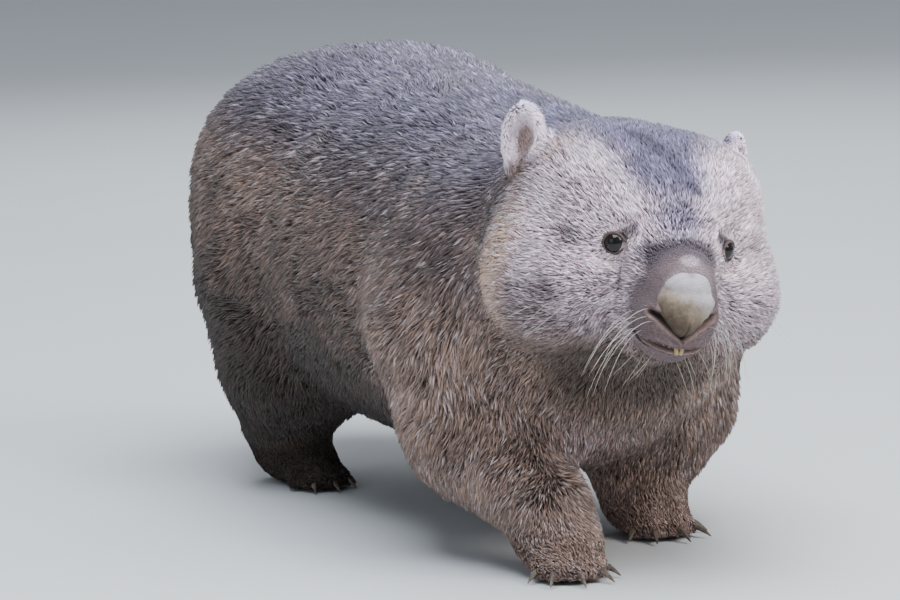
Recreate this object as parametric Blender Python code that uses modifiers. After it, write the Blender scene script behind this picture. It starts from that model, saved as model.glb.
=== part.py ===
"""A common wombat as a still, life-size model, standing in mid walk.

The animal faces -Y with its left side at +X and stands on Z = 0. Its surface is the outer surface of
the coat. Soft forms are blended into one body, and each part of the body is the stretch of that one
surface that lies in its zone, so neighbours meet face to face with a thin gap between them.
"""

import math

import bmesh
import bpy
import numpy as np
from mathutils import Euler, Matrix, Vector

GAP = 0.0003
MARGIN = 0.016
LIMB_BALLS = 7

# Driving sizes of the animal, in metres.
BACK_HEIGHT = 0.372
BELLY_CLEARANCE = 0.046
TORSO_WIDTH = 0.304
HEAD_WIDTH = 0.240
TORSO_DEPTH = BACK_HEIGHT - BELLY_CLEARANCE
TORSO_MIDDLE = (BACK_HEIGHT + BELLY_CLEARANCE) / 2

# The head's own frame: X to its left, Y to its back, Z up, turned as it is carried (degrees).
HEAD_CENTRE = Vector((-0.0025, -0.339, 0.2545))
HEAD_PITCH = 10
HEAD_ROLL = 8.5
HEAD_TURN = -2

EYE_RADIUS = 0.0102
EYE_SPOT = (0.0456, -0.061, 0.015)
EYE_LOOK = (0.62, -0.77, 0.08)
EYE_BULGE = 0.0024
LID_THICKNESS = 0.0026
LID_OPENING = (0.0082, 0.0074)

EAR_SPOT = (0.0920, 0.031, 0.055)
EAR_HALF = (0.0172, 0.0270, 0.0105)
EAR_BASE = (0.0150, 0.0200, 0.0125)
EAR_WALL = 0.0042
EAR_RISE = 0.0075
EAR_FACING = (0.74, -0.64, 0.12)
EAR_LEAN = {1: 2, -1: -12}
EAR_SHIFT = {1: (-0.0055, -0.005), -1: (0.0015, 0.005)}

MOUTH_HEIGHT = -0.0522
MOUTH_RISE = 0.0105
MOUTH_TURN = 53
MOUTH_GROOVE = 0.0022
LIP_RADIUS = 0.0030
NOSTRIL_SPOT = (0.0115, -0.060, -0.0318)
NOSTRIL_HALF = (0.0165, 0.0085, 0.0022)
INCISOR_SIZE = (0.0040, 0.0028, 0.0070)
INCISOR_SPOT = (0.0023, 0.0006, 0.0022)

# Where each foot stands; 1 is the left side (+X) and -1 the right.
FORE_FEET = {1: (0.060, -0.205), -1: (-0.068, -0.330)}
HIND_FEET = {1: (0.095, 0.110), -1: (-0.095, 0.170)}
FORE_TOE_IN = 8
HIND_TOE_IN = -6
SIDES = {"left": 1, "right": -1}

# Each foot's pad (half sizes and place), fan of toes in degrees, reach and thickness of a toe,
# length of a claw and the first toe that has one.
FORE_PAW = {"pad": (0.033, 0.036, 0.025), "back": 0.002, "fan": 50, "reach": 0.040, "toe": 0.0098}
HIND_PAW = {"pad": (0.029, 0.052, 0.023), "back": 0.006, "fan": 34, "reach": 0.054, "toe": 0.0088}
FORE_CLAWS = {"length": 0.022, "first": 0}
HIND_CLAWS = {"length": 0.015, "first": 1}
CLAW_THICKNESS = 0.0036
PAW_HEIGHTS = {"fore": 0.040, "hind": 0.037}

TAIL_ROOT = (0, 0.352, 0.196)
TAIL_DROOP = -62
TAIL_HALF = (0.015, 0.013, 0.030)

# The grain that each skin is joined at, and the triangles that it keeps before its sides are cut.
TORSO_MESH = (0.009, 3900)
NECK_MESH = (0.006, 1800)
HEAD_MESH = (0.0034, 3500)
FORE_LEG_MESH = (0.006, 900)
HIND_LEG_MESH = (0.006, 1000)
PAW_MESH = (0.003, 620)
NOSE_MESH = (0.0015, 480)


class Form:
    """One soft form of the body: a tilted ellipsoid, or a limb that tapers between two balls."""

    def __init__(self, blend, centre=None, half=None, turn=(0, 0, 0), ends=None, radii=None):
        self.blend = blend
        self.ends = ends
        if ends is None:
            self.centre = np.array(centre, float)
            self.half = np.array(half, float)
            self.axes = np.array(Euler([math.radians(a) for a in turn]).to_matrix())
            return
        self.start = np.array(ends[0], float)
        self.along = np.array(ends[1], float) - self.start
        self.radii = radii

    def distance(self, points):
        if self.ends is None:
            local = (points - self.centre) @ self.axes
            near = np.linalg.norm(local / self.half, axis=1)
            slope = np.linalg.norm(local / self.half**2, axis=1)
            return near * (near - 1) / np.maximum(slope, 1e-6)
        reach = points - self.start
        share = np.clip(reach @ self.along / (self.along @ self.along), 0, 1)
        radius = self.radii[0] + share * (self.radii[1] - self.radii[0])
        return np.linalg.norm(reach - share[:, None] * self.along, axis=1) - radius

    def moved(self, matrix):
        """The same form carried by a rigid matrix."""
        turn = np.array(matrix.to_3x3())
        shift = np.array(matrix.translation)
        copy = Form.__new__(Form)
        copy.__dict__.update(self.__dict__)
        if self.ends is None:
            copy.centre = turn @ self.centre + shift
            copy.axes = turn @ self.axes
        else:
            copy.start = turn @ self.start + shift
            copy.along = turn @ self.along
        return copy

    def ball(self):
        """The centre and radius of a ball round the form."""
        if self.ends is None:
            return self.centre, self.half.max()
        return self.start + self.along / 2, np.linalg.norm(self.along) / 2 + max(self.radii)

    def balls(self):
        """Matrices that turn a unit ball into the plain balls that fill the form."""
        if self.ends is None:
            place = Matrix.Translation(self.centre) @ Matrix(self.axes.tolist()).to_4x4()
            return [place @ Matrix.Diagonal((*self.half, 1))]
        made = []
        for share in np.linspace(0, 1, LIMB_BALLS):
            radius = self.radii[0] + share * (self.radii[1] - self.radii[0])
            size = Matrix.Diagonal((radius, radius, radius, 1))
            made.append(Matrix.Translation(self.start + share * self.along) @ size)
        return made


def pair(blend, centre, half, turn=(0, 0, 0)):
    """The same form on both sides of the body."""
    return [
        Form(blend, (side * centre[0], *centre[1:]), half, (turn[0], side * turn[1], side * turn[2]))
        for side in (1, -1)
    ]


def limb(blend, points, radii):
    """A chain of tapering limbs through the points."""
    return [
        Form(blend, ends=(points[i], points[i + 1]), radii=(radii[i], radii[i + 1]))
        for i in range(len(points) - 1)
    ]


def torso_forms():
    wide, deep, mid = TORSO_WIDTH / 2, TORSO_DEPTH / 2, TORSO_MIDDLE
    return [
        Form(0.04, (0, 0.055, mid - 0.004), (wide, 0.225, deep - 0.008)),
        Form(0.04, (0, -0.085, mid - 0.012), (wide * 0.92, 0.190, deep * 0.91)),
        Form(0.04, (0, 0.200, mid + 0.020), (wide * 0.98, 0.174, deep * 0.87)),
        *pair(0.04, (0.062, 0.224, mid + 0.043), (0.087, 0.131, 0.098)),
        Form(0.04, (0, -0.165, mid + 0.030), (0.090, 0.120, 0.080)),
        *pair(0.04, (0.078, -0.180, mid - 0.025), (0.060, 0.082, 0.105)),
        Form(0.04, (0, -0.215, mid - 0.045), (0.090, 0.105, 0.100)),
        *pair(0.04, (0.096, 0.197, mid - 0.045), (0.058, 0.112, 0.115)),
    ]


def neck_forms():
    nape = HEAD_CENTRE + Vector((0, 0.050, -0.005))
    return [
        *limb(0.04, [(0, -0.170, 0.213), tuple(nape)], [0.116, 0.095]),
        Form(0.04, (0, -0.222, 0.210), (0.136, 0.092, 0.104)),
        Form(0.04, (0, -0.285, 0.172), (0.098, 0.062, 0.058)),
    ]


def fore_leg_forms(side):
    x, y = FORE_FEET[side]
    shoulder = (side * 0.090, -0.180, 0.180)
    elbow = (side * 0.088, -0.190 + 0.25 * (y + 0.25), 0.100)
    wrist = (x * 1.05, y + 0.020, 0.048)
    return limb(0.035, [shoulder, elbow, wrist], [0.066, 0.050, 0.036])


def hind_leg_forms(side):
    x, y = HIND_FEET[side]
    hip = (side * 0.088, 0.185, 0.165)
    knee = (side * 0.098, y - 0.005 + 0.4 * (0.18 - y), 0.112)
    heel = (x, y + 0.040, 0.048)
    return limb(0.035, [hip, knee, heel], [0.078, 0.055, 0.034])


def foot_place(x, y, toe_in):
    """The frame of a foot: its toes point to -Y and its sole lies on the floor."""
    return Matrix.Translation((x, y, 0)) @ Matrix.Rotation(math.radians(toe_in), 4, "Z")


def toe_rays(spread, reach):
    """Direction and length of each toe, from the inner to the outer one."""
    rays = []
    for index in range(5):
        angle = math.radians(spread * (index - 2) / 2)
        length = reach * (1 - 0.07 * (index - 2) ** 2)
        rays.append((Vector((math.sin(angle), -math.cos(angle), 0)), length))
    return rays


def paw_forms(place, paw):
    """A foot's pad and its five toes, which sink a little into the floor so that the sole is flat."""
    toe = paw["toe"]
    forms = [Form(0.02, (0, paw["back"], paw["pad"][2] * 0.88), paw["pad"])]
    for ray, length in toe_rays(paw["fan"], paw["reach"]):
        start = ray * (length * 0.45) + Vector((0, 0, toe * 1.25))
        end = ray * length + Vector((0, 0, toe * 0.86))
        forms += limb(0.007, [tuple(start), tuple(end)], [toe * 1.15, toe])
    return [form.moved(place) for form in forms]


def fore_paw_place(side):
    return foot_place(*FORE_FEET[side], side * FORE_TOE_IN)


def hind_paw_place(side):
    return foot_place(*HIND_FEET[side], side * HIND_TOE_IN)


def fore_paw_forms(side):
    return paw_forms(fore_paw_place(side), FORE_PAW)


def hind_paw_forms(side):
    return paw_forms(hind_paw_place(side), HIND_PAW)


def head_place():
    """The matrix that carries the head's own frame to the body."""
    turn = Euler([math.radians(a) for a in (HEAD_PITCH, HEAD_ROLL, HEAD_TURN)], "YXZ").to_matrix()
    return Matrix.Translation(HEAD_CENTRE) @ turn.to_4x4()


def head_forms():
    wide = HEAD_WIDTH / 2
    forms = [
        Form(0.03, (0, 0.018, 0.020), (wide * 0.84, 0.086, 0.061)),
        *pair(0.02, (0.050, 0.016, 0.047), (0.045, 0.054, 0.033)),
        *pair(0.03, (wide - 0.056, -0.006, -0.032), (0.056, 0.064, 0.053)),
        Form(0.02, (0, -0.032, 0.018), (0.054, 0.046, 0.040)),
        *limb(0.022, [(0, -0.030, -0.004), (0, -0.0735, -0.014)], [0.049, 0.0370]),
        Form(0.015, (0, -0.0785, 0.0035), (0.0230, 0.0240, 0.0165)),
        *limb(0.02, [(0, -0.030, -0.054), (0, -0.082, -0.0545)], [0.034, 0.0195]),
        *pair(0.014, (0.0175, -0.0855, -0.034), (0.0190, 0.0240, 0.0180)),
        Form(0.014, (0, -0.0895, -0.0450), (0.0220, 0.0205, 0.0130)),
    ]
    return [form.moved(head_place()) for form in forms]


def body_forms():
    forms = torso_forms() + neck_forms()
    for side in (1, -1):
        forms += fore_leg_forms(side) + fore_paw_forms(side)
        forms += hind_leg_forms(side) + hind_paw_forms(side)
    return forms + head_forms()


def nose_forms():
    forms = [
        Form(0.008, (0, -0.0980, -0.0060), (0.0210, 0.0170, 0.0155)),
        Form(0.006, (0, -0.1045, -0.0155), (0.0226, 0.0145, 0.0115)),
        *limb(0.006, [(0, -0.1035, -0.019), (0, -0.1070, -0.0335)], [0.0175, 0.0090]),
    ]
    return [form.moved(head_place()) for form in forms]


def soft_min(a, b, blend):
    share = np.clip(0.5 + 0.5 * (b - a) / blend, 0, 1)
    return b * (1 - share) + a * share - blend * share * (1 - share)


def field(forms, points):
    """Signed distance from the blended forms, near their surface."""
    found = forms[0].distance(points)
    for form in forms[1:]:
        found = soft_min(found, form.distance(points), form.blend)
    return found


def trace(forms, start, direction, depth=0.0):
    """The point on the line from start that lies at the depth under the blended surface."""
    start = np.array(start, float)
    direction = np.array(direction, float) / np.linalg.norm(direction)
    along = 0.0
    for _ in range(40):
        along -= float(field(forms, (start + along * direction)[None])[0]) + depth
    return Vector(start + along * direction)


class Zone:
    """A box in its own frame, which holds the stretch of the body that one part takes."""

    def __init__(self, place, low, high):
        low, high = Vector(low), Vector(high)
        self.place = place @ Matrix.Translation((low + high) / 2)
        self.half = (high - low) / 2

    def sides(self, more):
        """Each side of the box, as a point and a normal that points out."""
        for axis in range(3):
            for sign in (1, -1):
                normal = sign * self.place.col[axis].to_3d()
                yield self.place.translation + normal * (self.half[axis] + more), normal

    def inside(self, points, more):
        held = np.ones(len(points), bool)
        for point, normal in self.sides(more):
            held &= (points - np.array(point)) @ np.array(normal) < 0
        return held

    def near(self, form, more):
        centre, radius = form.ball()
        return bool(self.inside(centre[None], more + radius)[0])

    def cutter(self, more=0.0):
        bm = bmesh.new()
        size = Matrix.Diagonal((*[2 * (half + more) for half in self.half], 1))
        bmesh.ops.create_cube(bm, size=1, matrix=self.place @ size)
        return new_object("cutter", bm)

    def clip(self, obj, more):
        """Cuts a closed mesh off at the sides of the box and closes it there."""
        bm = bmesh.new()
        bm.from_mesh(obj.data)
        for point, normal in self.sides(more):
            bmesh.ops.bisect_plane(
                bm, geom=bm.verts[:] + bm.edges[:] + bm.faces[:], plane_co=point, plane_no=normal,
                clear_outer=True,
            )
            rim = [edge for edge in bm.edges if edge.is_boundary]
            if rim:
                bmesh.ops.holes_fill(bm, edges=rim, sides=0)
        bmesh.ops.triangulate(bm, faces=bm.faces[:])
        bm.to_mesh(obj.data)
        bm.free()


def new_object(name, bm):
    mesh = bpy.data.meshes.new(name)
    bm.to_mesh(mesh)
    bm.free()
    obj = bpy.data.objects.new(name, mesh)
    bpy.context.scene.collection.objects.link(obj)
    return obj


def evaluated(obj):
    """Replaces an object's mesh by its mesh with the modifiers applied."""
    graph = bpy.context.evaluated_depsgraph_get()
    mesh = bpy.data.meshes.new_from_object(obj.evaluated_get(graph))
    obj.modifiers.clear()
    old = obj.data
    obj.data = mesh
    bpy.data.meshes.remove(old)
    return obj


def boolean(obj, operation, tools):
    """Cuts or joins closed meshes with the exact solver, and removes the tools."""
    for tool in tools:
        modifier = obj.modifiers.new("cut", "BOOLEAN")
        modifier.operation = operation
        modifier.solver = "EXACT"
        modifier.object = tool
    evaluated(obj)
    for tool in tools:
        bpy.data.objects.remove(tool)
    return obj


def tidy(obj):
    """Welds a mesh, turns its faces outward and keeps only its largest closed surface."""
    bm = bmesh.new()
    bm.from_mesh(obj.data)
    bmesh.ops.remove_doubles(bm, verts=bm.verts[:], dist=2e-6)
    bmesh.ops.dissolve_degenerate(bm, dist=2e-6, edges=bm.edges[:])
    bmesh.ops.triangulate(bm, faces=bm.faces[:])
    seen = set()
    groups = []
    for vert in bm.verts:
        if vert in seen:
            continue
        group = {vert}
        queue = [vert]
        while queue:
            for edge in queue.pop().link_edges:
                for other in edge.verts:
                    if other not in group:
                        group.add(other)
                        queue.append(other)
        seen |= group
        groups.append(group)
    main_group = max(groups, key=len)
    bmesh.ops.delete(bm, geom=[vert for vert in bm.verts if vert not in main_group], context="VERTS")
    bmesh.ops.recalc_face_normals(bm, faces=bm.faces[:])
    bm.to_mesh(obj.data)
    bm.free()
    return obj


def grown(obj, more):
    """A copy of a closed mesh with each point moved out along its normal."""
    bm = bmesh.new()
    bm.from_mesh(obj.data)
    bm.normal_update()
    shifts = [vert.normal * more for vert in bm.verts]
    for vert, shift in zip(bm.verts, shifts):
        vert.co += shift
    return new_object("grown", bm)


def settle(obj, forms, zone, rounds=8):
    """Relaxes the mesh and draws it onto the blended forms, so that roots and folds flow together."""
    mesh = obj.data
    points = np.empty(len(mesh.vertices) * 3, np.float32)
    mesh.vertices.foreach_get("co", points)
    points = points.reshape(-1, 3).astype(float)
    free = zone.inside(points, MARGIN - 1e-5)
    edges = np.empty(len(mesh.edges) * 2, np.int32)
    mesh.edges.foreach_get("vertices", edges)
    edges = edges.reshape(-1, 2)
    count = np.maximum(np.bincount(edges.ravel(), minlength=len(points)), 1)[:, None]
    step = 1e-4
    for _ in range(rounds):
        total = np.zeros_like(points)
        for axis in range(3):
            total[:, axis] += np.bincount(edges[:, 0], points[edges[:, 1], axis], len(points))
            total[:, axis] += np.bincount(edges[:, 1], points[edges[:, 0], axis], len(points))
        points[free] += 0.5 * (total / count - points)[free]
        for _ in range(2):
            moving = points[free]
            here = field(forms, moving)
            slope = np.stack(
                [(field(forms, moving + step * np.eye(3)[axis]) - here) / step for axis in range(3)],
                axis=1,
            )
            length = np.maximum((slope**2).sum(1), 0.05)
            points[free] -= slope * (here / length)[:, None]
    mesh.vertices.foreach_set("co", points.astype(np.float32).ravel())
    mesh.update()


def thinned(obj, triangles):
    decimate = obj.modifiers.new("thin", "DECIMATE")
    decimate.ratio = min(1, triangles / len(obj.data.polygons))
    return evaluated(obj)


def skin(name, forms, zone, voxel, triangles):
    """The blended surface inside a zone, closed at the zone's sides."""
    close = [form for form in forms if zone.near(form, MARGIN + 0.02)]
    unit = bpy.data.meshes.new("unit")
    bm = bmesh.new()
    bmesh.ops.create_uvsphere(bm, u_segments=32, v_segments=20, radius=1)
    bm.to_mesh(unit)
    bm.clear()
    for form in close:
        for matrix in form.balls():
            one = unit.copy()
            one.transform(matrix)
            bm.from_mesh(one)
            bpy.data.meshes.remove(one)
    bpy.data.meshes.remove(unit)
    obj = new_object(name, bm)
    remesh = obj.modifiers.new("join", "REMESH")
    remesh.mode = "VOXEL"
    remesh.voxel_size = voxel
    evaluated(obj)
    zone.clip(obj, MARGIN)
    settle(obj, close, zone)
    thinned(obj, triangles)
    return tidy(boolean(obj, "INTERSECT", [zone.cutter()]))


def tube(name, points, radii, thickness):
    """A round closed tube through the points, as a mesh; thickness is scaled at each point."""
    curve = bpy.data.curves.new(name, "CURVE")
    curve.dimensions = "3D"
    curve.bevel_depth = thickness
    curve.bevel_resolution = 1
    curve.use_fill_caps = True
    spline = curve.splines.new("POLY")
    spline.points.add(len(points) - 1)
    for point, place, radius in zip(spline.points, points, radii):
        point.co = (*place, 1)
        point.radius = radius
    draft = bpy.data.objects.new(name, curve)
    bpy.context.scene.collection.objects.link(draft)
    graph = bpy.context.evaluated_depsgraph_get()
    bm = bmesh.new()
    bm.from_mesh(bpy.data.meshes.new_from_object(draft.evaluated_get(graph)))
    bpy.data.objects.remove(draft)
    bmesh.ops.remove_doubles(bm, verts=bm.verts[:], dist=1e-6)
    bmesh.ops.recalc_face_normals(bm, faces=bm.faces[:])
    return new_object(name, bm)


def ball(name, place, half, segments=24, rings=16):
    bm = bmesh.new()
    matrix = place @ Matrix.Diagonal((*half, 1))
    bmesh.ops.create_uvsphere(bm, u_segments=segments, v_segments=rings, radius=1, matrix=matrix)
    return new_object(name, bm)


def facing(place, direction, roll=0):
    """A frame at a place whose Z axis points along the direction, with X kept level."""
    z = Vector(direction).normalized()
    x = Vector((0, 0, 1)).cross(z).normalized()
    turn = Matrix((x, z.cross(x), z)).transposed().to_4x4()
    return Matrix.Translation(place) @ turn @ Matrix.Rotation(math.radians(roll), 4, "Z")


def head_zone():
    return Zone(head_place(), (-0.25, -0.30, -0.079), (0.25, 0.060, 0.25))


def neck_zone():
    return Zone(Matrix(), (-0.25, -0.45, 0.150), (0.25, -0.205, 0.50))


def fore_leg_zone(side):
    lean = Matrix.Translation((side * 0.052, 0, 0.100)) @ Matrix.Rotation(math.radians(side * 45), 4, "Y")
    return outer_zone(lean, side, -0.44, -0.112, 0.30)


def hind_leg_zone(side):
    lean = Matrix.Translation((side * 0.080, 0, 0.120)) @ Matrix.Rotation(math.radians(side * 20), 4, "Y")
    return outer_zone(lean, side, 0.068, 0.42, 0.115)


def outer_zone(lean, side, front, back, top):
    """The zone on the outer side of a leaning plane through the place, from front to back."""
    reach = 0.30
    inner, outer = sorted((0, side * reach))
    return Zone(lean, (inner, front, -reach), (outer, back, top))


def paw_zone(place, height):
    return Zone(place, (-0.070, -0.095, 0), (0.070, 0.095, height))


def fore_paw_zone(side):
    return paw_zone(fore_paw_place(side), PAW_HEIGHTS["fore"])


def hind_paw_zone(side):
    return paw_zone(hind_paw_place(side), PAW_HEIGHTS["hind"])


def limb_zones():
    zones = []
    for side in (1, -1):
        zones += [fore_leg_zone(side), hind_leg_zone(side), fore_paw_zone(side), hind_paw_zone(side)]
    return zones


def make_torso(forms):
    everything = Zone(Matrix(), (-0.4, -0.6, -0.2), (0.4, 0.6, 0.6))
    torso = skin("torso", forms, everything, *TORSO_MESH)
    away = [head_zone(), neck_zone()] + limb_zones()
    return tidy(boolean(torso, "DIFFERENCE", [zone.cutter(GAP) for zone in away]))


def make_neck(forms):
    neck = skin("neck", forms, neck_zone(), *NECK_MESH)
    away = [head_zone()] + limb_zones()
    return tidy(boolean(neck, "DIFFERENCE", [zone.cutter(GAP) for zone in away]))


def make_limbs(forms):
    made = {}
    for label, side in SIDES.items():
        leg = skin(f"fore_leg_{label}", forms, fore_leg_zone(side), *FORE_LEG_MESH)
        made[leg.name] = tidy(boolean(leg, "DIFFERENCE", [fore_paw_zone(side).cutter(GAP)]))
        leg = skin(f"hind_leg_{label}", forms, hind_leg_zone(side), *HIND_LEG_MESH)
        made[leg.name] = tidy(boolean(leg, "DIFFERENCE", [hind_paw_zone(side).cutter(GAP)]))
        for kind, zone in (("fore", fore_paw_zone(side)), ("hind", hind_paw_zone(side))):
            made[f"{kind}_paw_{label}"] = skin(f"{kind}_paw_{label}", forms, zone, *PAW_MESH)
    return made


def eye_centre(forms, side):
    """The eye's centre, so deep under the face that only its front stands in the opening."""
    place = head_place()
    look = place.to_3x3() @ Vector((side * EYE_LOOK[0], *EYE_LOOK[1:]))
    spot = place @ Vector((side * EYE_SPOT[0], *EYE_SPOT[1:]))
    return trace(forms, spot - look * 0.02, look, EYE_RADIUS - EYE_BULGE), look


def make_eye(forms, label, side):
    centre, look = eye_centre(forms, side)
    return ball(f"eye_{label}", facing(centre, look), (EYE_RADIUS,) * 3, 18, 12)


def lid_ball(forms, side):
    """The swelling that both lids make over the eye."""
    centre, look = eye_centre(forms, side)
    radius = EYE_RADIUS + LID_THICKNESS
    return ball("lids", facing(centre, look), (radius,) * 3, 20, 12)


def lid_opening(forms, side):
    """The opening between the lids, which widens outward."""
    centre, look = eye_centre(forms, side)
    bm = bmesh.new()
    place = facing(centre + look.normalized() * 0.012, look, -side * 8)
    bmesh.ops.create_cone(
        bm, cap_ends=True, segments=16, radius1=0.75, radius2=1.25, depth=1,
        matrix=place @ Matrix.Diagonal((LID_OPENING[0], LID_OPENING[1], 0.016, 1)),
    )
    return new_object("opening", bm)


def mouth_path(forms, lift, share=1.0, steps=14):
    """Points along the mouth from corner to corner, on the face at a height above the mouth's line."""
    place = head_place()
    points = []
    for step in range(steps + 1):
        out = share * (2 * step / steps - 1)
        axis = Vector((0, -0.060, MOUTH_HEIGHT + MOUTH_RISE * out * out + lift))
        turn = math.radians(MOUTH_TURN) * out
        aim = Vector((math.sin(turn), -math.cos(turn), 0))
        points.append(trace(forms, place @ axis, place.to_3x3() @ aim))
    return points


def mouth_groove(forms):
    points = mouth_path(forms, 0)
    last = len(points) - 1
    radii = [0.35 + 0.65 * math.sin(math.pi * index / last) ** 0.5 for index in range(last + 1)]
    return tube("groove", points, radii, MOUTH_GROOVE)


def lips(forms):
    made = []
    for lift in (LIP_RADIUS * 0.95, -LIP_RADIUS * 0.95):
        points = mouth_path(forms, lift, 0.86)
        last = len(points) - 1
        radii = [0.45 + 0.55 * math.sin(math.pi * index / last) for index in range(last + 1)]
        made.append(tube("lip", points, radii, LIP_RADIUS))
    return made


def incisors(forms):
    """The two upper front teeth, whose ends show under the upper lip."""
    place = head_place()
    ahead = place.to_3x3() @ Vector((0, -1, 0))
    front = place.inverted() @ trace(forms, place @ Vector((0, -0.06, MOUTH_HEIGHT)), ahead)
    made = []
    for side in (1, -1):
        bm = bmesh.new()
        centre = front + Vector((side * INCISOR_SPOT[0], *INCISOR_SPOT[1:]))
        size = Matrix.Diagonal((*INCISOR_SIZE, 1))
        bmesh.ops.create_cube(bm, size=1, matrix=place @ Matrix.Translation(centre) @ size)
        made.append(new_object("incisor", bm))
    return made


def nostril(forms, side):
    """The slit under one side of the nose pad, which runs out and up from the middle."""
    place = head_place()
    inner = place @ Vector((side * NOSTRIL_SPOT[0], *NOSTRIL_SPOT[1:]))
    front = place.inverted() @ trace(forms, inner, place.to_3x3() @ Vector((side * 0.15, -1, 0)))
    run = Vector((side * 0.84, 0.30, 0.50)).normalized()
    up = Vector((0, 1, 0)).cross(run).normalized() * -side
    turn = Matrix((run, up.cross(run), up)).transposed().to_4x4()
    return ball("nostril", place @ Matrix.Translation(front) @ turn, NOSTRIL_HALF, 16, 10)


def make_nose(forms):
    everything = Zone(head_place(), (-0.1, -0.2, -0.1), (0.1, 0, 0.1))
    return skin("nose_pad", forms, everything, *NOSE_MESH)


def make_head(forms, eyes, nose):
    head = skin("head", forms, head_zone(), *HEAD_MESH)
    boolean(head, "UNION", [lid_ball(forms, side) for side in (1, -1)] + lips(forms))
    boolean(head, "DIFFERENCE", [mouth_groove(forms)])
    boolean(head, "UNION", incisors(forms))
    boolean(head, "DIFFERENCE", [grown(eye, GAP) for eye in eyes])
    boolean(head, "DIFFERENCE", [lid_opening(forms, side) for side in (1, -1)])
    boolean(head, "DIFFERENCE", [grown(nose, GAP)])
    boolean(head, "DIFFERENCE", [nostril(forms, side) for side in (1, -1)])
    return tidy(head)


def make_ear(label, side, head):
    """A short round ear with a hollow cup that faces forward and out."""
    place = head_place()
    front = Vector((side * EAR_FACING[0], *EAR_FACING[1:])).normalized()
    out, lift = EAR_SHIFT[side]
    spot = Vector((side * (EAR_SPOT[0] + out), EAR_SPOT[1], EAR_SPOT[2] + lift))
    frame = facing(spot, front, side * EAR_LEAN[side])
    wide, tall, thick = EAR_HALF
    ear = ball(f"ear_{label}", place @ frame @ Matrix.Translation((0, EAR_RISE, 0)), EAR_HALF, 18, 12)
    base = frame @ Matrix.Translation((0, EAR_RISE - tall * 0.62, -thick * 0.25))
    boolean(ear, "UNION", [ball("base", place @ base, EAR_BASE, 14, 10)])
    cup = frame @ Matrix.Translation((0, EAR_RISE, EAR_WALL + thick * 0.35))
    hollow = (wide - EAR_WALL * 0.8, tall - EAR_WALL * 0.9, thick)
    boolean(ear, "DIFFERENCE", [ball("cup", place @ cup, hollow, 16, 10)])
    boolean(ear, "DIFFERENCE", [grown(head, GAP)])
    return tidy(ear)


def make_tail(torso):
    place = Matrix.Translation(TAIL_ROOT) @ Matrix.Rotation(math.radians(TAIL_DROOP), 4, "X")
    tail = ball("tail", place, TAIL_HALF, 16, 12)
    return tidy(boolean(tail, "DIFFERENCE", [grown(torso, GAP)]))


def make_claws(kind, label, place, paw, claws, foot):
    """The claws of one foot: each leaves the end of its toe, curves down and stops above the floor."""
    made = []
    toe = paw["toe"]
    for index, (ray, toe_length) in enumerate(toe_rays(paw["fan"], paw["reach"])):
        if index < claws["first"]:
            continue
        root = ray * (toe_length + toe * 0.2) + Vector((0, 0, toe * 1.10))
        size = claws["length"] * (1 - 0.05 * (index - 2) ** 2)
        points = []
        radii = []
        for step in range(6):
            share = step / 5
            drop = (toe * 1.10 - 0.0022) * share**1.6
            points.append(place @ (root + ray * (size * share) - Vector((0, 0, drop))))
            radii.append(1 - 0.86 * share**1.3)
        claw = tube(f"claw_{kind}_{label}_{index + 1}", points, radii, CLAW_THICKNESS)
        made.append(tidy(boolean(claw, "DIFFERENCE", [grown(foot, GAP)])))
    return made


def material(name, colour, roughness):
    made = bpy.data.materials.new(name)
    made.use_nodes = True
    shader = made.node_tree.nodes["Principled BSDF"]
    shader.inputs["Base Color"].default_value = (*colour, 1)
    shader.inputs["Roughness"].default_value = roughness
    shader.inputs["Metallic"].default_value = 0
    return made


FINISHES = {
    "torso": ("brown coat", (0.118, 0.082, 0.068), 0.9),
    "neck": ("nape coat", (0.150, 0.105, 0.086), 0.9),
    "head": ("face coat", (0.300, 0.255, 0.235), 0.9),
    "leg": ("dark coat", (0.085, 0.062, 0.055), 0.9),
    "paw": ("foot coat", (0.065, 0.050, 0.046), 0.85),
    "ear": ("ear coat", (0.330, 0.270, 0.235), 0.9),
    "tail": ("tail skin", (0.110, 0.080, 0.070), 0.85),
    "nose": ("nose leather", (0.300, 0.245, 0.200), 0.6),
    "eye": ("eye", (0.012, 0.008, 0.007), 0.08),
    "claw": ("claw horn", (0.140, 0.110, 0.090), 0.45),
}


def finish(parts):
    """Shades each part smooth, gives it its material and puts it in the model's collection."""
    model = bpy.data.collections.new("wombat")
    bpy.context.scene.collection.children.link(model)
    ready = {}
    for obj in parts:
        kind = next(kind for kind in FINISHES if kind in obj.name)
        if kind not in ready:
            ready[kind] = material(*FINISHES[kind])
        obj.data.materials.clear()
        obj.data.materials.append(ready[kind])
        obj.data.shade_smooth()
        obj.data.set_sharp_from_angle(angle=math.radians(50))
        bpy.context.scene.collection.objects.unlink(obj)
        model.objects.link(obj)


def centre_on_floor(parts):
    """Moves the whole animal so that the middle of its box stands over the origin."""
    corners = np.array([vert.co for obj in parts for vert in obj.data.vertices])
    middle = (corners.min(0) + corners.max(0)) / 2
    for obj in parts:
        obj.data.transform(Matrix.Translation((-middle[0], -middle[1], 0)))


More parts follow.
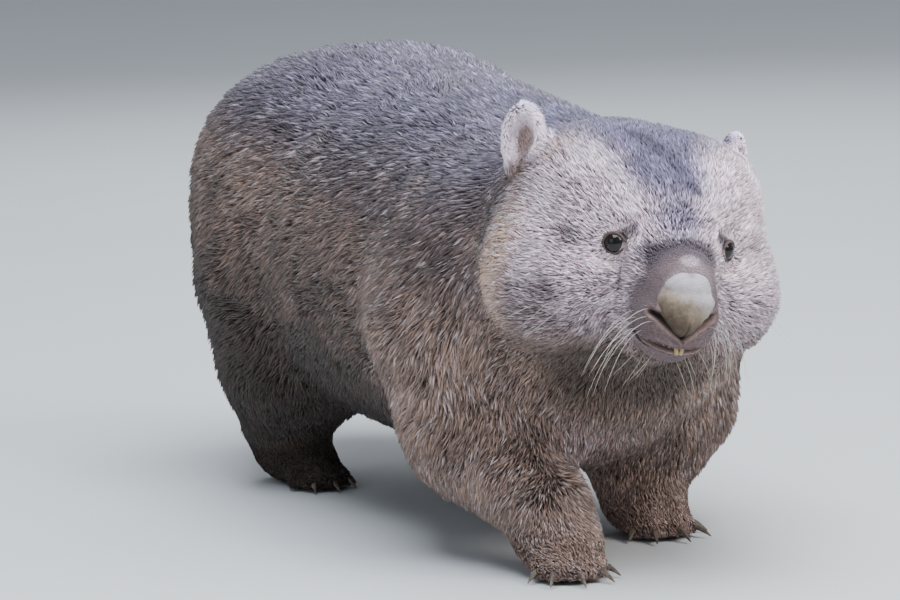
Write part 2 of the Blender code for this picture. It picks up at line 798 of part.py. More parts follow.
def main():
    for old in list(bpy.data.objects):
        bpy.data.objects.remove(old)
    forms = body_forms()
    torso = make_torso(forms)
    neck = make_neck(forms)
    limbs = make_limbs(forms)
    eyes = [make_eye(forms, label, side) for label, side in SIDES.items()]
    nose = make_nose(nose_forms())
    head = make_head(forms, eyes, nose)
    tidy(boolean(nose, "DIFFERENCE", [nostril(forms, side) for side in (1, -1)]))
    parts = [torso, neck, head, nose, *eyes, *limbs.values(), make_tail(torso)]
    for label, side in SIDES.items():
        parts.append(make_ear(label, side, head))
        foot = limbs[f"fore_paw_{label}"]
        parts += make_claws("fore", label, fore_paw_place(side), FORE_PAW, FORE_CLAWS, foot)
        foot = limbs[f"hind_paw_{label}"]
        parts += make_claws("hind", label, hind_paw_place(side), HIND_PAW, HIND_CLAWS, foot)
    centre_on_floor(parts)
    finish(parts)


if __name__ == "__main__":
    main()
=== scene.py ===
import itertools
import math

import bmesh
import bpy
import numpy as np
from mathutils import Euler, Matrix, Vector
from mathutils.bvhtree import BVHTree


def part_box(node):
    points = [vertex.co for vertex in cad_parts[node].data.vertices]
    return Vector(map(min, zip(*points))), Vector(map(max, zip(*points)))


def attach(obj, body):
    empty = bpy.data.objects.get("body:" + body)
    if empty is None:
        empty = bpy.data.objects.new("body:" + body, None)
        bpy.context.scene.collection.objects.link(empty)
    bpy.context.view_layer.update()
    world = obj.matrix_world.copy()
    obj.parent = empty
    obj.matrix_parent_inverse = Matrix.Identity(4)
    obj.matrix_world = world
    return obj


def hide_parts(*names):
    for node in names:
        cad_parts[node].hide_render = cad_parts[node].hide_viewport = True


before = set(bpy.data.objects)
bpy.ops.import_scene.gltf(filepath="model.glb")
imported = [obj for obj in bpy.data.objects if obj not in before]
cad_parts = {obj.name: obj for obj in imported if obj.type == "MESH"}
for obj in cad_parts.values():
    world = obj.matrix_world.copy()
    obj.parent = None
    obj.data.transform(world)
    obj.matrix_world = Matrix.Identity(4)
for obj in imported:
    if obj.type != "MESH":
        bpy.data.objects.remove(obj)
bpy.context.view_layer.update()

bl_info = {
    "name": "Common wombat",
    "version": (1, 0, 0),
    "blender": (4, 5, 0),
    "location": "View3D > Sidebar > Wombat",
    "description": "Skin, coat, eyes, nose and claws of a life-size wombat model",
    "category": "Add Mesh",
}

SIDES = {"left": 1, "right": -1}

# The head's own frame: X to its left, Y to its back, Z up. Angles in degrees.
HEAD_ANGLES = (10, 8.5, -2)
EYES_IN_HEAD = Vector((0, -0.0573, 0.0146))
EYE_SIDE = 0.0426
EYE_LOOK = (0.62, -0.77, 0.08)

FLESH = ["torso", "neck", "head", "nose_pad", "tail", "eye_left", "eye_right"] + [
    f"{part}_{label}" for part in ("ear", "fore_leg", "hind_leg", "fore_paw", "hind_paw") for label in SIDES
]


# Sizes and colours


class WombatSizes(bpy.types.PropertyGroup):
    skin_grain: bpy.props.FloatProperty(
        name="Skin grain", description="Size of the skin's faces before the face is refined",
        default=0.0025, unit="LENGTH")
    coat_depth: bpy.props.FloatProperty(
        name="Coat depth", description="How deep the skin of the back lies under the coat's surface",
        default=0.0095, unit="LENGTH")
    body_hair: bpy.props.FloatProperty(
        name="Body tuft length", description="Length of a tuft on the back", default=0.0195, unit="LENGTH")
    face_hair: bpy.props.FloatProperty(
        name="Face tuft length", description="Length of a tuft on the cheek", default=0.0105, unit="LENGTH")
    tufts: bpy.props.IntProperty(
        name="Tufts", description="Number of tufts in the whole coat", default=350000)
    whisker: bpy.props.FloatProperty(
        name="Whisker thickness", description="Thickness of a whisker at its root",
        default=0.00037, unit="LENGTH")


def colour_property(name, description, default):
    return bpy.props.FloatVectorProperty(
        name=name, description=description, default=default, subtype="COLOR", size=3, min=0, max=1)


class WombatColours(bpy.types.PropertyGroup):
    brown_root: colour_property("Brown root", "Root of the body's hair", (0.019, 0.013, 0.012))
    brown_tip: colour_property("Brown tip", "Tip of the body's hair", (0.138, 0.096, 0.092))
    body_frost: colour_property("Body frost", "Pale tips on the body", (0.61, 0.52, 0.52))
    face_root: colour_property("Face root", "Root of the face's hair", (0.155, 0.119, 0.118))
    face_tip: colour_property("Face tip", "Tip of the face's hair", (0.68, 0.535, 0.600))
    face_frost: colour_property("Face frost", "Whitest tips on the face", (0.98, 0.88, 0.97))
    warm: colour_property("Warm tan", "Tan edge behind the cheek", (0.66, 0.440, 0.325))
    # Blue grey: the crown's stripe, and painted sheen of the sky on the back and the top of the head.
    cool: colour_property("Blue grey", "Stripe on the crown and sheen of the back", (0.126, 0.116, 0.215))
    muzzle: colour_property("Muzzle", "Velvet of the muzzle", (0.280, 0.191, 0.176))
    lip: colour_property("Lip", "Bare lips", (0.235, 0.140, 0.130))
    lid: colour_property("Lid", "Bare skin of the lids", (0.175, 0.108, 0.092))
    lid_line: colour_property("Lid line", "Pale wet line along the lower lid", (0.20, 0.14, 0.12))
    # Pale top of the nose pad: partly dust, partly painted highlight.
    nose_pale: colour_property("Nose, top", "Dusty top of the nose pad", (0.72, 0.67, 0.74))
    nose_tan: colour_property("Nose, middle", "Tan middle of the nose pad", (0.285, 0.215, 0.145))
    nose_dark: colour_property("Nose, lower", "Granular lower part of the nose pad", (0.086, 0.058, 0.038))
    horn: colour_property("Claw horn", "Horn of the claws", (0.085, 0.065, 0.050))
    floor: colour_property("Floor", "Plain pale floor", (0.6, 0.61, 0.61))


def sizes():
    return bpy.context.scene.wombat_sizes


def colours():
    return bpy.context.scene.wombat_colours


# Places


def head_turn():
    return Euler([math.radians(angle) for angle in HEAD_ANGLES], "YXZ").to_matrix()


def head_place():
    """The matrix from the head's own frame to the model's, found from where the eyes are."""
    middles = [sum(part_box(f"eye_{label}"), Vector()) / 2 for label in SIDES]
    centre = (middles[0] + middles[1]) / 2 - head_turn() @ EYES_IN_HEAD
    return Matrix.Translation(centre) @ head_turn().to_4x4()


def in_head(points):
    """The points in the head's own frame."""
    return (points - np.array(head_place().translation)) @ np.array(head_turn())


def eye_place(side):
    """The frame of an eye: its middle, with Z along its look and X level."""
    label = "left" if side > 0 else "right"
    middle = sum(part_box(f"eye_{label}"), Vector()) / 2
    look = (head_turn() @ Vector((side * EYE_LOOK[0], *EYE_LOOK[1:]))).normalized()
    level = (head_turn() @ Vector((0, 0, 1))).cross(look).normalized()
    turn = Matrix((level, look.cross(level), look)).transposed().to_4x4()
    return Matrix.Translation(middle) @ turn


EAR_FACING = (0.74, -0.64, 0.12)
EAR_LEAN = {1: 2, -1: -12}
EAR_HALF = (0.0172, 0.0270)
EAR_MIDDLE = {1: (0.0856, 0.0314, 0.0574), -1: (-0.0938, 0.0328, 0.0673)}


def from_ear(head, side):
    """How far points lie from an ear's middle, with 1 at its rim, the way outwards to the rim, the way the
    cup faces, and how high the points are from -1 at the ear's root to 1 at its tip."""
    front = Vector((side * EAR_FACING[0], *EAR_FACING[1:])).normalized()
    upright = (Vector((0, 0, 1)) - front * front.z).normalized()
    inward = upright.cross(front) * -side
    lean = math.radians(EAR_LEAN[side])
    tall = upright * math.cos(lean) + inward * math.sin(lean)
    wide = tall.cross(front)
    away = head - np.array(EAR_MIDDLE[side])
    across, along = away @ np.array(wide), away @ np.array(tall)
    reach = np.hypot(across / EAR_HALF[0], along / EAR_HALF[1])
    outwards = across[:, None] * np.array(wide) + along[:, None] * np.array(tall)
    outwards /= np.maximum(np.linalg.norm(outwards, axis=1), 1e-6)[:, None]
    return reach, outwards, np.array(front), along / EAR_HALF[1]


# Smooth masks


def ramp(values, low, high):
    share = np.clip((values - low) / (high - low), 0, 1)
    return share * share * (3 - 2 * share)


def blob(points, centre, half, core=0.35):
    """1 inside an ellipsoid's core, falling to 0 at its surface."""
    away = np.linalg.norm((points - np.array(centre)) / np.array(half), axis=1)
    return 1 - ramp(away, core, 1)


def both(points, centre, half, core=0.35):
    """The same blob on both sides of the head."""
    mirrored = points * np.array([1, 1, 1.0])
    mirrored[:, 0] = np.abs(mirrored[:, 0])
    return blob(mirrored, centre, half, core)


def noise(points, size, seed):
    """Smooth values from 0 to 1 that change over a distance of about size."""
    spots = points / size + seed * 7.31
    low = np.floor(spots)
    part = spots - low
    ease = part * part * (3 - 2 * part)
    total = np.zeros(len(points))
    for corner in itertools.product((0, 1), repeat=3):
        cell = low + corner
        wave = np.sin(cell @ np.array([12.9898, 78.233, 37.719]) + seed) * 43758.5453
        weight = np.prod(np.where(corner, ease, 1 - ease), axis=1)
        total += weight * (wave - np.floor(wave))
    return total


def body_masks(points):
    """Where each stretch of the body is, as values from 0 to 1."""
    head = in_head(points)
    found = {}
    found["head"] = blob(head, (0, 0.0, -0.005), (0.150, 0.140, 0.125), 0.72)
    found["muzzle"] = np.max([
        blob(head, (0, -0.102, -0.024), (0.047, 0.038, 0.042), 0.72),
        blob(head, (0, -0.092, -0.052), (0.036, 0.034, 0.022), 0.62),
        blob(head, (0, -0.098, 0.004), (0.037, 0.028, 0.025), 0.66)], axis=0)
    found["snout"] = blob(head, (0, -0.080, 0.024), (0.038, 0.034, 0.032), 0.5)
    found["halo"] = blob(head, (0.003, -0.108, -0.006), (0.031, 0.032, 0.028), 0.60) * ramp(head[:, 2], -0.030, -0.012)
    found["under_eye"] = both(head, (0.052, -0.070, -0.002), (0.026, 0.022, 0.013), 0.2)
    found["eyes"] = both(head, (EYE_SIDE, -0.061, 0.015), (0.020, 0.020, 0.019), 0.45)
    ears = [
        blob(points, sum(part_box(f"ear_{label}"), Vector()) / 2, (0.027, 0.027, 0.038), 0.70) for label in SIDES
    ]
    found["ears"] = np.maximum(*ears)
    found["paws"] = 1 - ramp(points[:, 2], 0.032, 0.060)
    found["legs"] = 1 - ramp(points[:, 2], 0.070, 0.140)
    return found


# Markings, carried by the skin and the coat alike, with painted shade, shadow and sheen among them


BRIDGE_LINE = [(0.000, -0.0895, 0.0185), (0.012, -0.0880, 0.0175), (0.022, -0.0860, 0.0140)]
BROW_CREASE_SHADE = [(0.0420, -0.0680, 0.0230), (0.0330, -0.0700, 0.0310), (0.0250, -0.0705, 0.0385), (0.0170, -0.0680, 0.0470)]
MUZZLE_FOLD_SHADE = [(0.0400, -0.0780, 0.0040), (0.0425, -0.0800, -0.0100), (0.0435, -0.0810, -0.0240), (0.0400, -0.0790, -0.0370)]
# One-sided: a furrow in the crown's fur, painted as a dark line of shade.
CROWN_FURROW_SHADE = [
    (-0.014, 0.004, 0.082), (-0.004, -0.012, 0.079), (0.006, -0.030, 0.073), (0.0125, -0.046, 0.065),
    (0.0140, -0.057, 0.057),
]


def stroke(points, line, wide):
    """1 along a line on both sides of the head, falling to 0 at its width."""
    mirrored = points.copy()
    mirrored[:, 0] = np.abs(mirrored[:, 0])
    away, _ = to_line(mirrored, np.array(line), 2 * wide)
    return 1 - ramp(away, 0.3 * wide, wide)


def ear_masks(points, normals):
    """The ears' white rim and front, their brown cup and their back, from 0 to 1."""
    head = in_head(points)
    turned = normals @ np.array(head_turn())
    ears = body_masks(points)["ears"]
    rim, cup, back = np.zeros((3, len(points)))
    for side in SIDES.values():
        reach, _, front, high = from_ear(head, side)
        here = ears * (head[:, 0] * side > 0)
        shown = ramp(turned @ front, -0.35, 0.15)
        rim += here * shown * ramp(reach, 0.38, 0.70) * ramp(high, -0.75, -0.15)
        cup += here * shown * (1 - ramp(reach, 0.30, 0.75))
        back += here * (1 - shown)
    return rim, cup, back


def markings(points, normals):
    """The coat's markings: pale, warm, cool and dark, from 0 to 1. Dark carries painted shade and shadow as well as
    darker hair, and cool carries painted sheen.
    """
    up = normals[:, 2]
    head = in_head(points)
    side = np.abs(head[:, 0])
    height = head[:, 2]
    x, y, z = points.T
    drift = 0.65 * noise(points, 0.022, 41) + 0.35 * noise(points, 0.007, 43) - 0.5
    face = blob(head, (0, -0.030, -0.010), (0.165, 0.115, 0.135), 0.60)
    face *= 1 - ramp(head[:, 1] + 0.040 * drift, -0.012, 0.046)
    # The pale face ends at the jaw; the lower cheek is darkened further as painted shade.
    jaw = (1 - ramp(height + 0.012 * drift, -0.084, -0.040)) * ramp(head[:, 1], -0.100, -0.070)
    face *= 1 - 0.80 * jaw
    face *= 1 - 0.68 * (1 - ramp(height, -0.052, -0.014)) * ramp(head[:, 1], -0.085, -0.050)
    rise = np.maximum(height - 0.030, 0)
    aside = np.abs(head[:, 0] + 0.003) + 0.022 * drift
    band = (1 - ramp(aside, 0.001 + 0.46 * rise, 0.028 + 0.62 * rise)) * ramp(height + 0.012 * drift, 0.030, 0.060)
    band *= 1 - 0.30 * ramp(head[:, 1], -0.01, 0.05)
    away, _ = to_line(head, np.array(CROWN_FURROW_SHADE))
    furrow_shade = 1 - ramp(away + 0.004 * drift, 0.003, 0.013)
    brow = blob(head, (0, -0.076, 0.034), (0.030, 0.030, 0.018), 0.2)
    bridge = stroke(head, BRIDGE_LINE, 0.0155)
    hump = blob(head, (0.0005, -0.100, 0.0135), (0.0115, 0.012, 0.0058), 0.4)
    # Painted shadow in the creases from the eyes' inner corners up the brow.
    crease = stroke(head, BROW_CREASE_SHADE, 0.0075)
    # Painted shade along the fold beside the muzzle.
    fold = stroke(head, MUZZLE_FOLD_SHADE, 0.0105)
    behind_eye = both(head, (0.074, -0.050, 0.013), (0.024, 0.028, 0.012), 0.05)
    fleck = blob(head, (-0.088, -0.060, -0.026), (0.020, 0.024, 0.015), 0.05)
    shades = 0.80 * bridge + 0.65 * crease + 0.90 * fold + 0.45 * behind_eye + 0.45 * fleck
    pale = face * (1 - 0.80 * band) * (1 - 0.90 * furrow_shade) * (1 - 0.35 * brow) * (1 - np.clip(shades, 0, 1))
    where = body_masks(points)
    velvet = np.clip(1.3 * where["muzzle"], 0, 1)
    pale = np.maximum(pale * (1 - 0.80 * velvet), np.maximum(0.95 * hump, 0.32 * where["halo"]))
    ears = where["ears"]
    rim, cup, ear_back = ear_masks(points, normals)
    # Painted shade in the hollow at the ear's root, dark and warm brown.
    ear_hollow_shade = both(head, (0.103, 0.018, 0.052), (0.018, 0.022, 0.019), 0.3)
    pale = np.clip(pale * (1 - ears) + ears * (0.75 - 0.30 * cup - 0.30 * ear_back) * (1 - 0.75 * ear_hollow_shade) + rim, 0, 1)
    chest = blob(points, (-0.030, -0.262, 0.095), (0.046, 0.050, 0.045), 0.1)
    nape = blob(head, (0, 0.045, 0.060), (0.110, 0.090, 0.060), 0.1)
    under_eye = where["under_eye"]
    pale = np.clip(pale + 0.45 * chest + 0.22 * nape * (1 - face) + 0.80 * under_eye, 0, 1)
    edge = both(head, (0.117, 0.002, -0.026), (0.044, 0.046, 0.095), 0.30)
    ear_front = both(head, (0.078, 0.004, 0.070), (0.026, 0.026, 0.026), 0.1)
    # Painted shadow under the head: the throat is made dark and olive brown.
    throat_shadow = blob(head, (0, -0.040, -0.095), (0.125, 0.085, 0.052), 0.45)
    warm = 1.00 * edge + 0.60 * ear_front + 0.30 * under_eye + 0.35 * throat_shadow + 0.32 * jaw + 0.7 * ear_hollow_shade + 0.50 * cup + 0.35 * ear_back
    warm = np.clip(warm + 0.5 * np.clip(drift, 0, 1) * (1 - face), 0, 1) * (1 - 0.95 * rim)
    # Painted sheen of a blue sky: the blue-grey cool mark on the upward-facing fur of the back, and its blue on the
    # crown and brow.
    back = ramp(up, 0.35, 0.98) * ramp(z, 0.24, 0.33) * (1 - ramp(y, 0.20, 0.40))
    cool = np.clip(0.95 * band + 0.4 * furrow_shade + 0.75 * brow + 0.74 * back * (1 - face), 0, 1) * (1 - velvet) + 0.35 * bridge
    # Painted shade: darker towards the ground on the rump, the belly and the lower flanks, where the body shades
    # itself.
    rear = ramp(y, 0.12, 0.42) * (1 - ramp(z, 0.16, 0.34))
    low = (1 - ramp(z, 0.11, 0.32)) * ramp(y, -0.16, 0.02)
    socket = both(head, (0.0435, -0.066, 0.022), (0.015, 0.016, 0.011), 0.2)
    dark = 0.70 * rear + 1.0 * low + 0.26 * bridge + 0.55 * crease + 0.95 * fold + 0.45 * ear_hollow_shade + 0.30 * cup
    # Painted shadow at the corners of the mouth.
    corner = both(head, (0.0275, -0.088, -0.0440), (0.0120, 0.014, 0.0065), 0.15)
    patch = both(head, (0.0310, -0.094, -0.0080), (0.0080, 0.014, 0.0110), 0.15)
    dark += 0.70 * corner + 0.35 * patch + 0.35 * behind_eye + 0.40 * fleck + 1.00 * throat_shadow + 0.20 * band + 0.65 * furrow_shade + 0.40 * socket - 0.35 * drift * (1 - face)
    return np.stack([pale, warm, cool, np.clip(dark * (1 - 0.6 * chest), 0, 1)], axis=1)


# Mesh helpers


def new_piece(name, mesh):
    obj = bpy.data.objects.new(name, mesh)
    bpy.context.scene.collection.objects.link(obj)
    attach(obj, "root")
    return obj


def from_bmesh(name, bm):
    mesh = bpy.data.meshes.new(name)
    bm.to_mesh(mesh)
    bm.free()
    mesh.shade_smooth()
    return mesh


def get_points(mesh, kind="co"):
    found = np.empty(len(mesh.vertices) * 3, np.float32)
    mesh.vertices.foreach_get(kind, found)
    return found.reshape(-1, 3).astype(float)


def set_points(mesh, points):
    mesh.vertices.foreach_set("co", points.astype(np.float32).ravel())
    mesh.update()


def mesh_edges(mesh):
    found = np.empty(len(mesh.edges) * 2, np.int32)
    mesh.edges.foreach_get("vertices", found)
    return found.reshape(-1, 2)


def triangles_of(mesh):
    mesh.calc_loop_triangles()
    found = np.empty(len(mesh.loop_triangles) * 3, np.int32)
    mesh.loop_triangles.foreach_get("vertices", found)
    return found.reshape(-1, 3)


def relax(points, edges, rounds, strength):
    """Moves each point towards the middle of its neighbours; strength may differ from point to point."""
    count = np.maximum(np.bincount(edges.ravel(), minlength=len(points)), 1)[:, None]
    strength = np.broadcast_to(strength, (len(points),))[:, None]
    for _ in range(rounds):
        total = np.stack([
            np.bincount(edges[:, 0], points[edges[:, 1], axis], len(points))
            + np.bincount(edges[:, 1], points[edges[:, 0], axis], len(points)) for axis in range(3)
        ], axis=1)
        points = points + strength * (total / count - points)
    return points


def put_colours(mesh, name, values):
    attribute = mesh.color_attributes.new(name, "FLOAT_COLOR", "POINT")
    attribute.data.foreach_set("color", values.astype(np.float32).ravel())


def tree_of(mesh):
    return BVHTree.FromPolygons([vert.co for vert in mesh.vertices], triangles_of(mesh).tolist())


# Materials


def group_nodes(name, inputs, outputs):
    """A shader node group with its sockets, and its input and output nodes."""
    group = bpy.data.node_groups.new(name, "ShaderNodeTree")
    for label, kind in inputs:
        group.interface.new_socket(label, in_out="INPUT", socket_type=kind)
    for label, kind in outputs:
        group.interface.new_socket(label, in_out="OUTPUT", socket_type=kind)
    return group, group.nodes.new("NodeGroupInput"), group.nodes.new("NodeGroupOutput")


def mix(tree, share, first, second, blend="MIX"):
    """A colour mix; each of its three inputs is a socket or a value."""
    node = tree.nodes.new("ShaderNodeMix")
    node.data_type = "RGBA"
    node.blend_type = blend
    for socket, value in ((node.inputs["Factor"], share), (node.inputs[6], first), (node.inputs[7], second)):
        feed(tree, socket, value)
    return node.outputs[2]


def feed(tree, socket, value):
    """Links a socket to an input, or sets its value."""
    if isinstance(value, bpy.types.NodeSocket):
        tree.links.new(value, socket)
    elif isinstance(value, (int, float)):
        socket.default_value = value
    else:
        socket.default_value = (*value, 1)


def calc(tree, operation, first, second=0.0, clamp=False):
    node = tree.nodes.new("ShaderNodeMath")
    node.operation = operation
    node.use_clamp = clamp
    feed(tree, node.inputs[0], first)
    feed(tree, node.inputs[1], second)
    return node.outputs[0]


def spread(tree, value, low, high, first=0.0, second=1.0):
    node = tree.nodes.new("ShaderNodeMapRange")
    node.interpolation_type = "SMOOTHSTEP"
    feed(tree, node.inputs["Value"], value)
    for label, number in (("From Min", low), ("From Max", high), ("To Min", first), ("To Max", second)):
        feed(tree, node.inputs[label], number)
    return node.outputs[0]


def read(tree, name):
    """An attribute of the piece, as its colour, its three channels and its alpha."""
    node = tree.nodes.new("ShaderNodeAttribute")
    node.attribute_name = name
    parts = tree.nodes.new("ShaderNodeSeparateColor")
    tree.links.new(node.outputs["Color"], parts.inputs[0])
    return [parts.outputs[0], parts.outputs[1], parts.outputs[2], node.outputs["Alpha"]]


def grains(tree, scale, detail=2.0, roughness=0.5, stretch=None):
    """Noise in the model's own coordinates; scale is in waves a metre."""
    place = tree.nodes.new("ShaderNodeTexCoord").outputs["Object"]
    if stretch is not None:
        mapping = tree.nodes.new("ShaderNodeMapping")
        mapping.inputs["Scale"].default_value = stretch
        tree.links.new(place, mapping.inputs["Vector"])
        place = mapping.outputs[0]
    node = tree.nodes.new("ShaderNodeTexNoise")
    node.inputs["Scale"].default_value = scale
    node.inputs["Detail"].default_value = detail
    node.inputs["Roughness"].default_value = roughness
    tree.links.new(place, node.inputs["Vector"])
    return node.outputs["Fac"]


def bump(tree, height, distance, strength=1.0):
    node = tree.nodes.new("ShaderNodeBump")
    node.inputs["Distance"].default_value = distance
    node.inputs["Strength"].default_value = strength
    tree.links.new(height, node.inputs["Height"])
    return node.outputs[0]


def coat_group():
    """The coat's colour from its markings, the place along a hair and two chances."""
    made = bpy.data.node_groups.get("Coat colour")
    if made:
        return made
    shown = colours()
    names = ("Pale", "Warm", "Cool", "Dark", "Along", "Chance", "Shade")
    tree, given, out = group_nodes(
        "Coat colour", [(name, "NodeSocketFloat") for name in names], [("Colour", "NodeSocketColor")])
    value = {name: given.outputs[name] for name in names}
    root = mix(tree, value["Pale"], shown.brown_root, shown.face_root)
    tip = mix(tree, value["Pale"], shown.brown_tip, shown.face_tip)
    tip = mix(tree, value["Warm"], tip, shown.warm)
    tip = mix(tree, calc(tree, "MULTIPLY", value["Cool"], 0.8), tip, shown.cool)
    frost = mix(tree, value["Pale"], shown.body_frost, shown.face_frost)
    # Painted sheen: where the cool mark lies, frosted tips turn bright blue grey.
    sheen = [min(1, 3.2 * c) for c in shown.cool]
    frost = mix(tree, calc(tree, "MULTIPLY", value["Cool"], 0.85), frost, sheen)
    limit = spread(tree, value["Pale"], 0.0, 1.0, 0.64, 0.42)
    gap = calc(tree, "SUBTRACT", value["Chance"], limit)
    frosted = calc(tree, "MULTIPLY", spread(tree, gap, 0.0, 0.22), spread(tree, value["Along"], 0.35, 0.9))
    calm = calc(tree, "SUBTRACT", 1.0, calc(tree, "MULTIPLY", value["Dark"], 0.88))
    frosted = calc(tree, "MULTIPLY", frosted, calm)
    hair = mix(tree, spread(tree, value["Along"], 0.05, 0.75), root, tip)
    hair = mix(tree, frosted, hair, frost)
    # The dark mark darkens the hair: darker hair, and painted shade and shadow.
    depth = calc(tree, "SUBTRACT", 1.0, calc(tree, "MULTIPLY", value["Dark"], 0.79))
    shade = calc(tree, "MULTIPLY", spread(tree, value["Shade"], 0.0, 1.0, 0.30, 1.70), depth)
    grey = tree.nodes.new("ShaderNodeCombineColor")
    for socket in grey.inputs[:3]:
        tree.links.new(shade, socket)
    hair = mix(tree, 1.0, hair, grey.outputs[0], "MULTIPLY")
    tree.links.new(hair, out.inputs["Colour"])
    return tree


def new_material(name, roughness, specular=0.5):
    material = bpy.data.materials.new(name)
    material.use_nodes = True
    shader = material.node_tree.nodes["Principled BSDF"]
    shader.inputs["Roughness"].default_value = roughness
    shader.inputs["Specular IOR Level"].default_value = specular
    return material, material.node_tree, shader


def hair_material():
    """Hair in tufts: dark at the root, with pale tips where the coat is frosted."""
    material, tree, shader = new_material("coat hair", 0.62, 0.22)
    mark = read(tree, "markings")
    strand = read(tree, "strand")
    group = tree.nodes.new("ShaderNodeGroup")
    group.node_tree = coat_group()
    for label, socket in zip(("Pale", "Warm", "Cool", "Dark"), mark):
        tree.links.new(socket, group.inputs[label])
    for label, socket in zip(("Along", "Chance", "Shade"), strand):
        tree.links.new(socket, group.inputs[label])
    tree.links.new(group.outputs[0], shader.inputs["Base Color"])
    shader.inputs["Sheen Weight"].default_value = 0.12
    shader.inputs["Sheen Roughness"].default_value = 0.5
    return material


def skin_material():
    """The skin under the coat, with short hair as bump, and the velvet of the muzzle and the lips."""
    shown = colours()
    material, tree, shader = new_material("skin", 0.75, 0.25)
    mark = read(tree, "markings")
    bare = read(tree, "bare")
    group = tree.nodes.new("ShaderNodeGroup")
    group.node_tree = coat_group()
    for label, socket in zip(("Pale", "Warm", "Cool", "Dark"), mark):
        tree.links.new(socket, group.inputs[label])
    short = grains(tree, 900, 3.0, 0.6)
    group.inputs["Along"].default_value = 0.33
    tree.links.new(short, group.inputs["Chance"])
    tree.links.new(grains(tree, 160, 3.0), group.inputs["Shade"])
    velvet_noise = grains(tree, 1400, 3.0, 0.65)
    mottle = grains(tree, 120, 3.0, 0.6)
    velvet = mix(tree, spread(tree, velvet_noise, 0.35, 0.70), [0.72 * c for c in shown.muzzle],
                 [min(1, 1.45 * c) for c in shown.muzzle])
    velvet = mix(tree, spread(tree, mottle, 0.45, 0.75, 0.0, 0.5), velvet, [0.5 * c for c in shown.muzzle])
    # The pale colour of the nose's top, partly dust and partly painted highlight, for the ring around the pad.
    dust_and_highlight = mix(tree, mottle, shown.nose_pale, [0.6 * c for c in shown.nose_pale])
    velvet = mix(tree, calc(tree, "MULTIPLY", bare[3], 0.45), velvet, dust_and_highlight)
    # Darker velvet where the dark mark lies, its painted shade and shadow included.
    velvet = mix(tree, calc(tree, "MULTIPLY", mark[3], 0.75), velvet, [0.35 * c for c in shown.muzzle])
    colour = mix(tree, bare[0], group.outputs[0], velvet)
    colour = mix(tree, bare[1], colour, mix(tree, mottle, shown.lip, [0.55 * c for c in shown.lip]))
    # Painted shade: the inside of the mouth and nostrils is near black.
    colour = mix(tree, bare[2], colour, (0.012, 0.007, 0.007))
    tree.links.new(colour, shader.inputs["Base Color"])
    rough = spread(tree, bare[1], 0.0, 1.0, 0.78, 0.38)
    tree.links.new(rough, shader.inputs["Roughness"])
    tree.links.new(bump(tree, velvet_noise, 0.0006, 0.7), shader.inputs["Normal"])
    return material


# Stage


CAMERA_TURN = (-22, 8, -2)
CAMERA_AWAY = 4.0
CAMERA_FOCUS = 5200
ANCHOR_FROM_EYES = Vector((-0.0016, 0.0630, 0.0072))
ANCHOR_PIXEL = (632, 228)
PICTURE = (900, 600)
FILM_WIDTH = 36


def make_camera():
    """The camera at the photograph's angle, so that a point behind the eyes falls on its pixel."""
    around, above, roll = (math.radians(angle) for angle in CAMERA_TURN)
    back = Vector((math.sin(around) * math.cos(above), -math.cos(around) * math.cos(above), math.sin(above)))
    right = Vector((math.cos(around), math.sin(around), 0))
    up = back.cross(right)
    right, up = (
        right * math.cos(roll) + up * math.sin(roll),
        up * math.cos(roll) - right * math.sin(roll),
    )
    anchor = sum((sum(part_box(f"eye_{label}"), Vector()) / 2 for label in SIDES), Vector()) / 2 + ANCHOR_FROM_EYES
    aside = (ANCHOR_PIXEL[0] - PICTURE[0] / 2) / CAMERA_FOCUS * CAMERA_AWAY
    above = (PICTURE[1] / 2 - ANCHOR_PIXEL[1]) / CAMERA_FOCUS * CAMERA_AWAY
    lens = bpy.data.cameras.new("camera")
    lens.sensor_width = FILM_WIDTH
    lens.lens = CAMERA_FOCUS / PICTURE[0] * FILM_WIDTH
    camera = bpy.data.objects.new("camera", lens)
    bpy.context.scene.collection.objects.link(camera)
    turn = Matrix((right, up, back)).transposed().to_4x4()
    camera.matrix_world = Matrix.Translation(anchor + back * CAMERA_AWAY - right * aside - up * above) @ turn
    bpy.context.scene.camera = camera


def add_lamp(name, place, aim, size, power, colour):
    lamp = bpy.data.lights.new(name, "AREA")
    lamp.size = size
    lamp.energy = power
    lamp.color = colour
    obj = bpy.data.objects.new(name, lamp)
    obj.location = place
    obj.rotation_euler = (Vector(aim) - Vector(place)).to_track_quat("-Z", "Y").to_euler()
    bpy.context.scene.collection.objects.link(obj)


